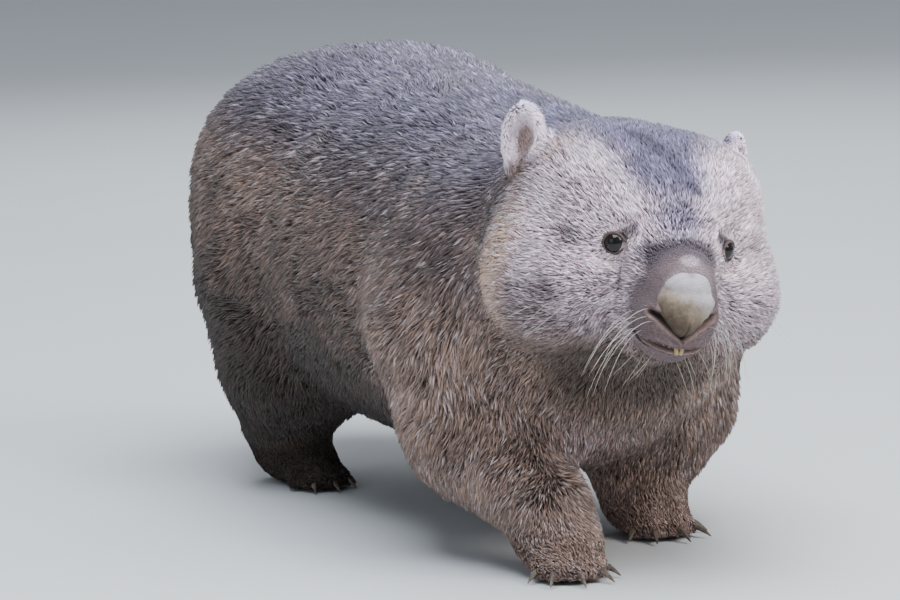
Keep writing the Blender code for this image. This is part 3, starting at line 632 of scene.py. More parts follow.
class WOMBAT_OT_stage(bpy.types.Operator):
    """Add the floor, the soft studio light and the camera"""
    bl_idname = "wombat.stage"
    bl_label = "Stage"

    def execute(self, context):
        make_camera()
        bm = bmesh.new()
        bmesh.ops.create_circle(bm, cap_ends=True, segments=96, radius=14)
        floor = bpy.data.objects.new("floor", from_bmesh("floor", bm))
        context.scene.collection.objects.link(floor)
        material, tree, shader = new_material("floor", 0.85, 0.2)
        soft = grains(tree, 3, 3.0)
        shown = colours().floor
        tree.links.new(mix(tree, soft, shown, [0.94 * c for c in shown]), shader.inputs["Base Color"])
        floor.data.materials.append(material)
        world = bpy.data.worlds.new("studio")
        world.use_nodes = True
        light = world.node_tree.nodes["Background"]
        light.inputs["Color"].default_value = (0.78, 0.87, 1.0, 1)
        light.inputs["Strength"].default_value = 0.42
        context.scene.world = world
        add_lamp("sky", (-0.1, -0.6, 3.0), (0, -0.05, 0.2), 2.6, 185, (0.84, 0.91, 1.0))
        add_lamp("key", (1.5, -2.4, 2.3), (0, -0.25, 0.22), 1.9, 92, (1.0, 0.97, 0.95))
        add_lamp("side", (-2.6, -1.2, 1.3), (0, 0, 0.2), 1.6, 9, (0.95, 0.97, 1.0))
        add_lamp("rear", (1.0, 2.6, 1.9), (0, 0.1, 0.2), 1.8, 40, (0.92, 0.96, 1.0))
        return {"FINISHED"}


# Skin


def coat_depth(points):
    """How deep the skin lies under the coat's surface at each point."""
    where = body_masks(points)
    depth = np.full(len(points), sizes().coat_depth)
    depth = depth + (0.0060 - depth) * where["head"]
    depth = depth + (0.0055 - depth) * where["legs"]
    depth = depth + (0.0024 - depth) * where["paws"]
    for name, value in (("muzzle", 0.0007), ("eyes", 0.0012), ("ears", 0.0005)):
        depth = depth + (value - depth) * where[name]
    return depth


def refine(mesh, near):
    """Splits the edges between the points that near picks."""
    bm = bmesh.new()
    bm.from_mesh(mesh)
    chosen = near(get_points(mesh))
    bm.verts.ensure_lookup_table()
    edges = [edge for edge in bm.edges if chosen[edge.verts[0].index] and chosen[edge.verts[1].index]]
    bmesh.ops.subdivide_edges(bm, edges=edges, cuts=1, use_grid_fill=False)
    bmesh.ops.triangulate(bm, faces=[face for face in bm.faces if len(face.verts) > 3])
    bm.to_mesh(mesh)
    bm.free()


MOUTH = {"height": -0.0525, "turn": 49, "rise": 0.0095, "curve": 1.5}
NOSTRIL_LINE = [(0.0006, -0.0422), (0.0045, -0.0385), (0.0105, -0.0332), (0.0185, -0.0285), (0.0265, -0.0250)]


def on_skin(tree, place, start, aim):
    """The outermost place on the skin along a ray from inside the head, and its normal."""
    origin = place @ Vector(start)
    direction = (place.to_3x3() @ Vector(aim)).normalized()
    spot, normal, _, _ = tree.ray_cast(origin + direction * 0.3, -direction)
    return spot, normal


def mouth_line(tree):
    place = head_place()
    points = []
    for step in range(41):
        share = 2 * step / 40 - 1
        turn = math.radians(MOUTH["turn"]) * share
        height = MOUTH["height"] + MOUTH["rise"] * abs(share) ** MOUTH["curve"]
        spot, _ = on_skin(tree, place, (0, -0.060, height), (math.sin(turn), -math.cos(turn), 0))
        points.append(spot)
    return np.array(points)


def nostril_line(tree, side):
    place = head_place()
    points = []
    for out, height in NOSTRIL_LINE:
        spot, _ = on_skin(tree, place, (side * out, -0.05, height), (0, -1, 0))
        points.append(spot)
    return np.array(points)


def to_line(points, line, most=0.02):
    """Distance of each point from a line of points, and where along the line from 0 to 1."""
    best = np.full(len(points), most)
    along = np.zeros(len(points))
    for index in range(len(line) - 1):
        start, run = line[index], line[index + 1] - line[index]
        share = np.clip((points - start) @ run / max(run @ run, 1e-12), 0, 1)
        away = np.linalg.norm(points - start - share[:, None] * run, axis=1)
        closer = away < best
        best[closer] = away[closer]
        along[closer] = ((index + share) / (len(line) - 1))[closer]
    return best, along


def sculpt_face(mesh):
    """Cuts the mouth and nostrils into the skin, raises the lips and the muzzle's folds, and stores
    where the skin is velvet, lip or the inside of an opening, which is painted dark as shade."""
    tree = tree_of(mesh)
    mouth = mouth_line(tree)
    nostrils = [nostril_line(tree, side) for side in SIDES.values()]
    points = get_points(mesh)
    normals = get_points(mesh, "normal")
    head = in_head(points)
    away, along = to_line(points, mouth)
    taper = np.clip(np.sin(np.pi * np.clip(along, 0.0, 1.0)), 0, 1) ** 0.55
    slack = 0.0014 + 0.0006 * np.exp(-((np.abs(2 * along - 1) - 0.45) / 0.3) ** 2)
    upper = head[:, 2] > MOUTH["height"] + MOUTH["rise"] * np.abs(2 * along - 1) ** MOUTH["curve"]
    push = -0.0056 * np.exp(-(away / slack) ** 2) * taper
    push += 0.0014 * np.exp(-((away - 0.0034) / 0.0018) ** 2) * taper * np.where(upper, 1.0, 1.15)
    # Opening: the inside of the mouth and nostrils, painted near black as shade.
    opening = np.exp(-(away / (1.1 * slack)) ** 2) * taper
    middle = 1 - ramp(np.abs(2 * along - 1), 0.35, 0.85)
    lips = (1 - ramp(away, 0.0014, 0.0036)) * ramp(taper, 0.15, 0.6) * np.where(upper, 0.42, 0.45 + 0.4 * middle)
    for line in nostrils:
        gap, share = to_line(points, line)
        wide = 0.0011 + 0.0026 * np.sin(np.pi * np.clip(0.15 + 0.75 * (1 - share), 0, 1)) ** 1.5
        push += -0.0058 * np.exp(-(gap / wide) ** 2)
        push += 0.0010 * np.exp(-((gap - 0.0042) / 0.0018) ** 2)
        opening = np.maximum(opening, np.exp(-(gap / (wide * 1.1)) ** 2))
    seam = np.abs(head[:, 0]) + 0.02 * (head[:, 1] > -0.085) + 0.4 * np.maximum(np.abs(head[:, 2] + 0.0470) - 0.0045, 0)
    push -= 0.0012 * np.exp(-(seam / 0.0011) ** 2)
    crease = both(head, (0.0375, -0.070, -0.010), (0.005, 0.020, 0.024), 0.1)
    push -= 0.0016 * crease
    points = points + normals * push[:, None]
    set_points(mesh, points)
    velvet = np.clip(body_masks(points)["muzzle"] * 1.4, 0, 1)
    halo = body_masks(points)["halo"]
    bare = np.stack([velvet, np.clip(lips, 0, 1), np.clip(opening, 0, 1), halo], axis=1)
    put_colours(mesh, "bare", bare)


def joined_flesh():
    bm = bmesh.new()
    for name in FLESH:
        bm.from_mesh(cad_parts[name].data)
    bmesh.ops.remove_doubles(bm, verts=bm.verts[:], dist=1e-6)
    return from_bmesh("skin", bm)


def settle_skin(mesh):
    """Draws the joined surface in by the coat's depth, and smooths it."""
    edges = mesh_edges(mesh)
    points = get_points(mesh)
    where = body_masks(points)
    strength = 0.5 * (1 - 0.75 * where["ears"])
    points = relax(points, edges, 6, strength)
    set_points(mesh, points)
    depth = coat_depth(points)
    for _ in range(6):
        points = points - get_points(mesh, "normal") * (depth / 6)[:, None]
        points = relax(points, edges, 1, strength * 0.6)
        set_points(mesh, points)


def near_face(points):
    head = in_head(points)
    muzzle = blob(head, (0, -0.090, -0.028), (0.050, 0.050, 0.050), 0.9)
    eyes = both(head, (EYE_SIDE, -0.061, 0.012), (0.024, 0.024, 0.026), 0.9)
    return (muzzle > 0.02) | (eyes > 0.02)


def near_openings(points):
    head = in_head(points)
    mouth = blob(head, (0, -0.096, -0.050), (0.036, 0.036, 0.013), 0.9)
    nose = blob(head, (0, -0.110, -0.032), (0.030, 0.026, 0.013), 0.9)
    return (mouth > 0.02) | (nose > 0.02)


class WOMBAT_OT_skin(bpy.types.Operator):
    """Join the body into one skin under the coat, and sculpt its face"""
    bl_idname = "wombat.skin"
    bl_label = "Skin"

    def execute(self, context):
        draft = bpy.data.objects.new("draft", joined_flesh())
        context.scene.collection.objects.link(draft)
        remesh = draft.modifiers.new("join", "REMESH")
        remesh.mode = "VOXEL"
        remesh.voxel_size = sizes().skin_grain
        graph = context.evaluated_depsgraph_get()
        mesh = bpy.data.meshes.new_from_object(draft.evaluated_get(graph))
        bpy.data.objects.remove(draft)
        mesh.name = "skin"
        settle_skin(mesh)
        mesh = thin_body(mesh)
        refine(mesh, near_face)
        refine(mesh, near_openings)
        points = get_points(mesh)
        edges = mesh_edges(mesh)
        smooth = np.where(near_face(points), 0.5, 0.0)
        set_points(mesh, relax(points, edges, 10, smooth))
        sculpt_face(mesh)
        points = get_points(mesh)
        put_colours(mesh, "markings", markings(points, get_points(mesh, "normal")))
        mesh.shade_smooth()
        skin = new_piece("skin", mesh)
        skin.data.materials.clear()
        skin.data.materials.append(skin_material())
        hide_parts(*[name for name in FLESH if not name.startswith(("eye", "nose"))])
        return {"FINISHED"}


def thin_body(mesh):
    """Thins the skin where the long coat hides it, and keeps the head fine."""
    obj = bpy.data.objects.new("thin", mesh)
    bpy.context.scene.collection.objects.link(obj)
    where = body_masks(get_points(mesh))
    keep = np.clip(where["head"] + where["ears"] + where["paws"], 0, 1)
    group = obj.vertex_groups.new(name="thin")
    for level in range(5):
        chosen = np.nonzero(np.round(4 * (1 - keep)) == level)[0]
        group.add(chosen.tolist(), level / 4, "REPLACE")
    decimate = obj.modifiers.new("thin", "DECIMATE")
    decimate.ratio = 0.55
    decimate.vertex_group = "thin"
    decimate.vertex_group_factor = 10
    graph = bpy.context.evaluated_depsgraph_get()
    thinned = bpy.data.meshes.new_from_object(obj.evaluated_get(graph))
    bpy.data.objects.remove(obj)
    bm = bmesh.new()
    bm.from_mesh(thinned)
    bmesh.ops.triangulate(bm, faces=bm.faces[:])
    bm.to_mesh(thinned)
    bm.free()
    thinned.name = "skin"
    return thinned


# Eyes and lids

EYE_RADIUS = 0.0105
CORNEA_ANGLE = 38
CORNEA_BULGE = 0.045
LID_HALF = (42.0, 39.5)
LID_CORNERS = [(172, 10.0, 16), (-6, 4.0, 14)]
# Angle beyond the opening in degrees, height over the eyeball, then how dark, pale and wet it is.
LID_SECTION = [
    (3.0, -0.0009, 1.0, 0.0, 1.0), (-0.5, 0.0001, 1.0, 0.0, 1.0), (0.0, 0.0005, 1.0, 0.10, 1.0),
    (1.6, 0.0009, 0.90, 0.45, 0.7), (4.0, 0.0012, 0.45, 0.1, 0.3), (7.0, 0.0012, 0.25, 0.0, 0.1),
    (10.0, 0.0009, 0.6, 0.0, 0.0), (13.0, 0.0006, 0.8, 0.0, 0.0), (16.5, 0.0001, 0.8, 0.0, 0.0),
    (20.0, -0.0010, 0.8, 0.0, 0.0), (22.0, -0.0024, 0.8, 0.0, 0.0), (12.0, -0.0022, 1.0, 0.0, 1.0),
]


def eye_material():
    """The wet eye: a black pupil in a dark brown iris."""
    material, tree, shader = new_material("eye", 0.03, 0.42)
    tone = read(tree, "tone")
    streaks = grains(tree, 2600, 2.0, 0.6)
    iris = mix(tree, streaks, (0.005, 0.003, 0.002), (0.013, 0.008, 0.005))
    colour = mix(tree, tone[0], (0.003, 0.003, 0.004), iris)
    tree.links.new(mix(tree, tone[1], colour, (0.010, 0.008, 0.009)), shader.inputs["Base Color"])
    tree.links.new(bump(tree, grains(tree, 300, 1.0), 0.00004, 0.3), shader.inputs["Normal"])
    return material


def lid_material():
    """Bare lids: a dark wet margin, and pinkish brown skin beyond it."""
    shown = colours()
    material, tree, shader = new_material("lid", 0.5, 0.4)
    tone = read(tree, "tone")
    mottle = grains(tree, 500, 3.0, 0.6)
    skin = mix(tree, mottle, shown.lid, [0.55 * c for c in shown.lid])
    # Tone 0 darkens the lids: their dark margin, and painted shade in their crease and inner corner.
    colour = mix(tree, tone[0], skin, (0.012, 0.008, 0.008))
    tree.links.new(mix(tree, tone[1], colour, shown.lid_line), shader.inputs["Base Color"])
    tree.links.new(spread(tree, tone[2], 0.0, 1.0, 0.62, 0.22), shader.inputs["Roughness"])
    tree.links.new(bump(tree, grains(tree, 1500, 3.0, 0.6), 0.0003, 0.6), shader.inputs["Normal"])
    return material


def make_eyeball(label, side):
    """A ball with the cornea's bulge, as a pupil, an iris and a dark rim."""
    bm = bmesh.new()
    bmesh.ops.create_uvsphere(bm, u_segments=56, v_segments=36, radius=EYE_RADIUS)
    place = eye_place(side)
    tone = []
    for vert in bm.verts:
        angle = vert.co.angle(Vector((0, 0, 1)))
        bulge = max(0, math.cos(angle * 90 / CORNEA_ANGLE)) if angle < math.radians(CORNEA_ANGLE) else 0
        vert.co *= 1 + CORNEA_BULGE * bulge
        iris = float(ramp(math.degrees(angle), 17, 22))
        rim = float(ramp(math.degrees(angle), 34, 42))
        tone.append((iris, rim, 0, 1))
        vert.co = place @ vert.co
    mesh = from_bmesh(f"eyeball_{label}", bm)
    put_colours(mesh, "tone", np.array(tone))
    return mesh


def lid_edge(turn):
    """Half the opening of the lids, in degrees around the eyeball's middle, towards an angle in degrees:
    0 is the outer corner, 90 the top and 180 the corner by the nose."""
    across, upright = LID_HALF
    wide = 1 / math.hypot(math.cos(math.radians(turn)) / across, math.sin(math.radians(turn)) / upright)
    for corner, reach, spread_out in LID_CORNERS:
        away = abs((turn - corner + 180) % 360 - 180)
        wide += reach * math.exp(-(away / spread_out) ** 2)
    return wide


def make_lids(label, side):
    """One ring of skin around the eye: a thin wet margin, a thick fold and an edge sunk in the face."""
    bm = bmesh.new()
    verts = []
    for beyond, lift, *_ in LID_SECTION:
        angle = math.radians(LID_HALF[0] + beyond)
        reach = EYE_RADIUS + lift
        verts.append(bm.verts.new((reach * math.sin(angle), 0, reach * math.cos(angle))))
    edges = [bm.edges.new((verts[index - 1], verts[index])) for index in range(len(verts))]
    bmesh.ops.spin(
        bm, geom=verts + edges, cent=(0, 0, 0), axis=(0, 0, 1), angle=math.tau, steps=96, use_merge=True)
    bmesh.ops.remove_doubles(bm, verts=bm.verts[:], dist=1e-7)
    bmesh.ops.recalc_face_normals(bm, faces=bm.faces[:])
    place = eye_place(side)
    tone = []
    for vert in bm.verts:
        turn = math.degrees(math.atan2(vert.co.y, vert.co.x * side))
        reach = vert.co.length
        angle = math.degrees(vert.co.angle(Vector((0, 0, 1))))
        beyond, lift = angle - LID_HALF[0], reach - EYE_RADIUS
        part = min(LID_SECTION, key=lambda row: abs(row[0] - beyond) / 30 + abs(row[1] - lift) / 0.002)
        upper = float(ramp(math.sin(math.radians(turn)), -0.2, 0.5))
        if lift > 0.0005:
            reach += (0.0002 + 0.0006 * upper) * math.sin(math.pi * min(1, max(0, beyond / 16)))
        crease = math.exp(-((beyond - 9.5) / 2.2) ** 2) * upper
        reach -= 0.0007 * crease
        opening = math.radians(lid_edge(turn) + beyond)
        around = math.radians(turn)
        vert.co = place @ Vector((
            side * reach * math.sin(opening) * math.cos(around), reach * math.sin(opening) * math.sin(around),
            reach * math.cos(opening)))
        corner = math.exp(-((180 - abs(turn)) / 30) ** 2)
        outer = float(ramp(beyond, 7, 11))
        # Dark: the lids' own dark margin, with painted shade in the crease above the upper lid and in the corner by the
        # nose.
        dark = max(part[2] * (1 - 0.45 * upper), 0.95 * crease, 0.85 * corner, 0.88 * (1 - upper), 0.80 * outer)
        tone.append((min(1, dark), part[3] * (1 - upper), part[4], 1))
    mesh = from_bmesh(f"lids_{label}", bm)
    put_colours(mesh, "tone", np.array(tone))
    return mesh


class WOMBAT_OT_eyes(bpy.types.Operator):
    """Add the wet eyeballs and the lids around them"""
    bl_idname = "wombat.eyes"
    bl_label = "Eyes"

    def execute(self, context):
        wet, lid = eye_material(), lid_material()
        for label, side in SIDES.items():
            ball = new_piece(f"eyeball_{label}", make_eyeball(label, side))
            ball.data.materials.append(wet)
            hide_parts(f"eye_{label}")
            lids = new_piece(f"lids_{label}", make_lids(label, side))
            lids.data.materials.append(lid)
        return {"FINISHED"}


# Nose, teeth and claws

NOSE_BALLS = [
    ((0, -0.0983, -0.0060), (0.0205, 0.0172, 0.0150)), ((0, -0.1045, -0.0150), (0.0232, 0.0156, 0.0120)),
    ((0, -0.1035, -0.0215), (0.0212, 0.0160, 0.0110)), ((0, -0.1045, -0.0275), (0.0160, 0.0150, 0.0100)),
    ((0, -0.1050, -0.0330), (0.0110, 0.0133, 0.0090)), ((0, -0.1060, -0.0370), (0.0065, 0.0100, 0.0060)),
]
TOOTH = {"size": (0.0036, 0.0026, 0.0068), "aside": 0.0021, "lift": -0.0009, "depth": -0.0001}


def nose_material():
    """The nose leather: a pale top, partly dust and partly painted highlight, tan and granular below, with painted
    shade in its grooves and under its lower edge.
    """
    shown = colours()
    material, tree, shader = new_material("nose leather", 0.62, 0.35)
    tone = read(tree, "tone")
    grain = grains(tree, 1500, 3.0, 0.6)
    patch = grains(tree, 130, 5.0, 0.62)
    # Pale top: partly dust, partly painted highlight.
    dust_and_highlight_colour = mix(tree, spread(tree, patch, 0.35, 0.7), shown.nose_pale, [0.66 * c for c in shown.nose_pale])
    low = mix(tree, spread(tree, patch, 0.35, 0.65), shown.nose_dark, [0.50 * c for c in shown.nose_dark])
    low = mix(tree, spread(tree, grain, 0.50, 0.75, 0.0, 0.6), low, shown.nose_tan)
    share = calc(tree, "ADD", tone[0], calc(tree, "MULTIPLY", calc(tree, "SUBTRACT", patch, 0.5), 1.1))
    colour = mix(tree, spread(tree, share, -0.14, 0.52), low, shown.nose_tan)
    colour = mix(tree, spread(tree, share, 0.36, 1.16), colour, dust_and_highlight_colour)
    speck = spread(tree, grain, 0.50, 0.68, 0.0, 0.65)
    colour = mix(tree, speck, colour, mix(tree, 0.55, colour, shown.nose_dark))
    colour = mix(tree, calc(tree, "MULTIPLY", tone[2], 0.8), colour, [1.25 * c for c in shown.muzzle])
    # Painted shade: near black in the grooves and under the lower edge.
    colour = mix(tree, calc(tree, "MULTIPLY", tone[1], 0.85), colour, (0.030, 0.022, 0.020))
    tree.links.new(colour, shader.inputs["Base Color"])
    tree.links.new(bump(tree, calc(tree, "ADD", grain, patch), 0.0012, 0.9), shader.inputs["Normal"])
    return material


def ball_at(bm, centre, half):
    matrix = head_place() @ Matrix.Translation(centre) @ Matrix.Diagonal((*half, 1))
    bmesh.ops.create_uvsphere(bm, u_segments=40, v_segments=24, radius=1, matrix=matrix)


def remeshed(mesh, size):
    """The mesh as one closed surface of even faces."""
    obj = bpy.data.objects.new("draft", mesh)
    bpy.context.scene.collection.objects.link(obj)
    remesh = obj.modifiers.new("join", "REMESH")
    remesh.mode = "VOXEL"
    remesh.voxel_size = size
    graph = bpy.context.evaluated_depsgraph_get()
    found = bpy.data.meshes.new_from_object(obj.evaluated_get(graph))
    bpy.data.objects.remove(obj)
    return found


def make_nose():
    bm = bmesh.new()
    for centre, half in NOSE_BALLS:
        ball_at(bm, centre, half)
    mesh = remeshed(from_bmesh("nose_leather", bm), 0.00085)
    mesh.name = "nose_leather"
    points = relax(get_points(mesh), mesh_edges(mesh), 14, 0.5)
    set_points(mesh, points)
    head = in_head(points)
    side = np.abs(head[:, 0])
    groove = np.exp(-(side / 0.0009) ** 2) * (1 - ramp(head[:, 2], -0.036, -0.024))
    notch = np.exp(-(np.hypot(head[:, 0], head[:, 2] - 0.0075) / 0.0028) ** 2)
    push = 0.00032 * (noise(points, 0.0013, 3) - 0.5) + 0.0007 * (noise(points, 0.0045, 5) - 0.5)
    push -= 0.0009 * groove + 0.0014 * notch
    set_points(mesh, points + get_points(mesh, "normal") * push[:, None])
    # Paler towards the top of the pad: partly dust, partly painted highlight of the sky.
    dust_and_highlight = ramp(head[:, 2] + 0.42 * head[:, 0], -0.038, 0.003)
    rim = 1 - ramp(-head[:, 1] + 0.55 * np.abs(head[:, 2] + 0.012) - 0.2 * side, 0.098, 0.108)
    low = 1 - ramp(head[:, 2], -0.042, -0.036)
    # Painted shade in the nose's middle groove, its notch and under its lower edge.
    fold = np.clip(0.8 * groove + 0.7 * notch + 0.8 * low, 0, 1)
    put_colours(mesh, "tone", np.stack([dust_and_highlight, fold, rim * (1 - 0.7 * dust_and_highlight), np.ones(len(side))], axis=1))
    mesh.shade_smooth()
    return mesh


def make_teeth():
    """The two upper front teeth under the lip."""
    tree = tree_of(bpy.data.objects["skin"].data)
    place = head_place()
    front, _ = on_skin(tree, place, (0, -0.060, MOUTH["height"] + TOOTH["lift"]), (0, -1, 0))
    front = place.inverted() @ front
    tooth = bmesh.new()
    bmesh.ops.create_cube(tooth, size=1, matrix=Matrix.Diagonal((*TOOTH["size"], 1)))
    bmesh.ops.bevel(
        tooth, geom=tooth.edges[:], offset=0.00125, offset_type="OFFSET", segments=4, profile=0.5,
        affect="EDGES", material=-1)
    shape = from_bmesh("tooth", tooth)
    bm = bmesh.new()
    for side in SIDES.values():
        made = shape.copy()
        lean = Matrix.Rotation(side * math.radians(12), 4, "Y")
        spot = Vector((side * TOOTH["aside"], front.y + TOOTH["depth"], front.z))
        made.transform(place @ Matrix.Translation(spot) @ lean)
        bm.from_mesh(made)
        bpy.data.meshes.remove(made)
    bpy.data.meshes.remove(shape)
    return from_bmesh("teeth", bm)


def tooth_material():
    material, tree, shader = new_material("tooth", 0.25, 0.5)
    stain = grains(tree, 500, 3.0, 0.6)
    tree.links.new(mix(tree, stain, (0.52, 0.40, 0.17), (0.27, 0.18, 0.07)), shader.inputs["Base Color"])
    tree.links.new(bump(tree, grains(tree, 900, 2.0, 0.5, (1, 1, 0.2)), 0.0002, 0.4), shader.inputs["Normal"])
    return material


def claw_material():
    """Dark horn with fine lines and worn, paler places."""
    shown = colours()
    material, tree, shader = new_material("claw horn", 0.42, 0.45)
    worn = grains(tree, 130, 4.0, 0.6)
    lines = grains(tree, 900, 3.0, 0.6, (1, 0.25, 1))
    horn = mix(tree, spread(tree, worn, 0.40, 0.70), shown.horn, [2.4 * c for c in shown.horn])
    horn = mix(tree, spread(tree, lines, 0.45, 0.65, 0.0, 0.6), horn, [0.45 * c for c in shown.horn])
    tree.links.new(horn, shader.inputs["Base Color"])
    tree.links.new(spread(tree, worn, 0.3, 0.7, 0.34, 0.60), shader.inputs["Roughness"])
    tree.links.new(bump(tree, lines, 0.0004, 0.6), shader.inputs["Normal"])
    return material


class WOMBAT_OT_horn(bpy.types.Operator):
    """Add the nose leather and the teeth, and give the claws their horn"""
    bl_idname = "wombat.horn"
    bl_label = "Nose, teeth and claws"

    def execute(self, context):
        nose = new_piece("nose_leather", make_nose())
        nose.data.materials.clear()
        nose.data.materials.append(nose_material())
        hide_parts("nose_pad")
        teeth = new_piece("teeth", make_teeth())
        teeth.data.materials.append(tooth_material())
        horn = claw_material()
        for name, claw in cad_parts.items():
            if name.startswith("claw"):
                claw.material_slots[0].link = "OBJECT"
                claw.material_slots[0].material = horn
        return {"FINISHED"}


# Whiskers

# Rows from a first to a last place in the head's frame, mirrored to both sides.
WHISKER_ROWS = [
    {"count": 3, "first": (0.030, -0.098, -0.022), "last": (0.020, -0.104, -0.036), "aim": (0.92, -0.30, 0.05),
     "fall": (-0.15, 0.30, -0.85), "length": 0.047, "thick": 0.9},
    {"count": 4, "first": (0.036, -0.090, -0.026), "last": (0.026, -0.100, -0.044), "aim": (0.95, -0.15, -0.10),
     "fall": (-0.35, 0.30, -1.00), "length": 0.047, "thick": 0.9},
    {"count": 4, "first": (0.037, -0.082, -0.034), "last": (0.030, -0.092, -0.048), "aim": (0.90, -0.05, -0.30),
     "fall": (-0.35, 0.25, -0.85), "length": 0.040, "thick": 0.8},
    {"count": 4, "first": (0.026, -0.090, -0.058), "last": (0.008, -0.096, -0.064), "aim": (0.50, -0.30, -0.85),
     "fall": (0.05, 0.30, -0.10), "length": 0.028, "thick": 0.6},
    {"count": 3, "first": (0.036, -0.066, 0.030), "last": (0.046, -0.062, 0.033), "aim": (0.45, -0.45, 0.80),
     "fall": (0.05, 0.40, 0.10), "length": 0.026, "thick": 0.6},
    {"count": 3, "first": (0.074, -0.058, -0.030), "last": (0.084, -0.052, -0.040), "aim": (0.80, -0.50, -0.40),
     "fall": (0.0, 0.40, -0.30), "length": 0.038, "thick": 0.6},
]


def whisker_material():
    material, tree, shader = new_material("whisker", 0.35, 0.5)
    tone = read(tree, "tone")
    tree.links.new(mix(tree, tone[0], (0.20, 0.16, 0.13), (0.72, 0.66, 0.58)), shader.inputs["Base Color"])
    tree.links.new(bump(tree, grains(tree, 3000, 1.0), 0.0001, 0.3), shader.inputs["Normal"])
    return material


def make_whisker(bm, tone, root, way, fall, length, thick):
    """One tapering, drooping hair from its root."""
    steps = 12
    rings = []
    for step in range(steps + 1):
        share = step / steps
        bend = fall * (share * share) * length
        spot = root + way * (length * share) + bend
        along = (way + fall * (2 * share)).normalized()
        aside = along.orthogonal().normalized()
        over = along.cross(aside)
        radius = thick / 2 * (1 - share) ** 0.6 + 0.00006
        ring = []
        for corner in range(4):
            turn = math.tau * corner / 4
            ring.append(bm.verts.new(spot + (aside * math.cos(turn) + over * math.sin(turn)) * radius))
            tone.append((min(1, 0.25 + 1.5 * share), 0, 0, 1))
        rings.append(ring)
    for first, second in zip(rings, rings[1:]):
        for corner in range(4):
            after = (corner + 1) % 4
            bm.faces.new((first[corner], first[after], second[after], second[corner]))
    bm.faces.new(rings[0][::-1])
    bm.faces.new(rings[-1])


class WOMBAT_OT_whiskers(bpy.types.Operator):
    """Add the whiskers of the muzzle, brows and cheeks"""
    bl_idname = "wombat.whiskers"
    bl_label = "Whiskers"

    def execute(self, context):
        draw = np.random.default_rng(19)
        tree = tree_of(bpy.data.objects["skin"].data)
        place = head_place()
        turn = place.to_3x3()
        material = whisker_material()
        for label, side in SIDES.items():
            bm = bmesh.new()
            tone = []
            for row in WHISKER_ROWS:
                for index in range(row["count"]):
                    share = (index + 0.5) / row["count"]
                    start = Vector(row["first"]).lerp(Vector(row["last"]), share)
                    start += Vector(draw.normal(0, 0.0016, 3))
                    start.x *= side
                    aim = Vector(row["aim"]) + Vector(draw.normal(0, 0.10, 3))
                    aim.x *= side
                    spot, _ = on_skin(tree, place, (0.3 * start.x, -0.060, start.z), start - Vector((
                        0.3 * start.x, -0.060, start.z)))
                    fall = turn @ (Vector((side * row["fall"][0], *row["fall"][1:])) * draw.uniform(0.6, 1.3))
                    length = row["length"] * draw.uniform(0.65, 1.25)
                    way = (turn @ aim).normalized()
                    make_whisker(
                        bm, tone, spot - way * 0.0015, way, fall, length, sizes().whisker * row["thick"])
            mesh = from_bmesh(f"whiskers_{label}", bm)
            put_colours(mesh, "tone", np.array(tone))
            piece = new_piece(f"whiskers_{label}", mesh)
            piece.data.materials.append(material)
        return {"FINISHED"}


# Coat


def coat_lie(points, normals):
    """The way the hair lies at each point: back from the nose, along the back, down the flanks and legs."""
    head = in_head(points)
    turn = np.array(head_turn())
    from_nose = head - np.array([0, -0.100, -0.012])
    from_nose[:, 1] += 0.02
    from_nose[:, 2] -= 0.35 * ramp(-head[:, 2], 0.02, 0.09) * 0.05
    face_way = from_nose / np.linalg.norm(from_nose, axis=1)[:, None]
    face_way = face_way @ turn.T
    flank = ramp(np.abs(normals[:, 0]), 0.2, 0.9)
    rump = ramp(points[:, 1], 0.22, 0.40)
    shoulder = 1 - ramp(points[:, 1], -0.16, -0.04)
    body_way = np.stack([
        0 * flank, 1 - 0.75 * rump, -0.10 - (0.50 + 0.55 * shoulder) * flank - 0.9 * rump], axis=1)
    front = ramp(-normals[:, 1], 0.25, 0.85)[:, None]
    body_way = body_way + (np.array([0, 0.05, -1.0]) - body_way) * front
    low = 1 - ramp(points[:, 2], 0.07, 0.17)
    leg_way = np.array([0, 0.15, -1.0])
    body_way = body_way + (leg_way - body_way) * (low * ramp(np.abs(normals[:, 2]), 1.0, 0.6))[:, None]
    paws = 1 - ramp(points[:, 2], 0.025, 0.045)
    body_way = body_way + (np.array([0, -0.9, -0.35]) - body_way) * paws[:, None]
    share = blob(head, (0, -0.02, -0.01), (0.165, 0.125, 0.150), 0.60)[:, None]
    way = body_way + (face_way - body_way) * share
    for label, side in SIDES.items():
        eye = blob(head, (side * EYE_SIDE, -0.061, 0.015), (0.020, 0.022, 0.019), 0.5)[:, None]
        from_eye = head - np.array([side * EYE_SIDE, -0.056, 0.015])
        from_eye /= np.linalg.norm(from_eye, axis=1)[:, None]
        way = way + 1.6 * eye * (from_eye @ turn.T)
        ear = blob(points, sum(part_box(f"ear_{label}"), Vector()) / 2, (0.027, 0.027, 0.036), 0.6)[:, None]
        reach, outwards, _, high = from_ear(head, side)
        fringe = 0.45 * ramp(reach, 0.55, 0.95) * ramp(high, -0.2, 0.6)
        drawn = np.array((-0.55 * side, -0.35, -0.55)) + fringe[:, None] * outwards
        way = way + (drawn @ turn.T - way) * ear
    way -= normals * (way * normals).sum(1)[:, None]
    return way / np.maximum(np.linalg.norm(way, axis=1), 1e-6)[:, None]


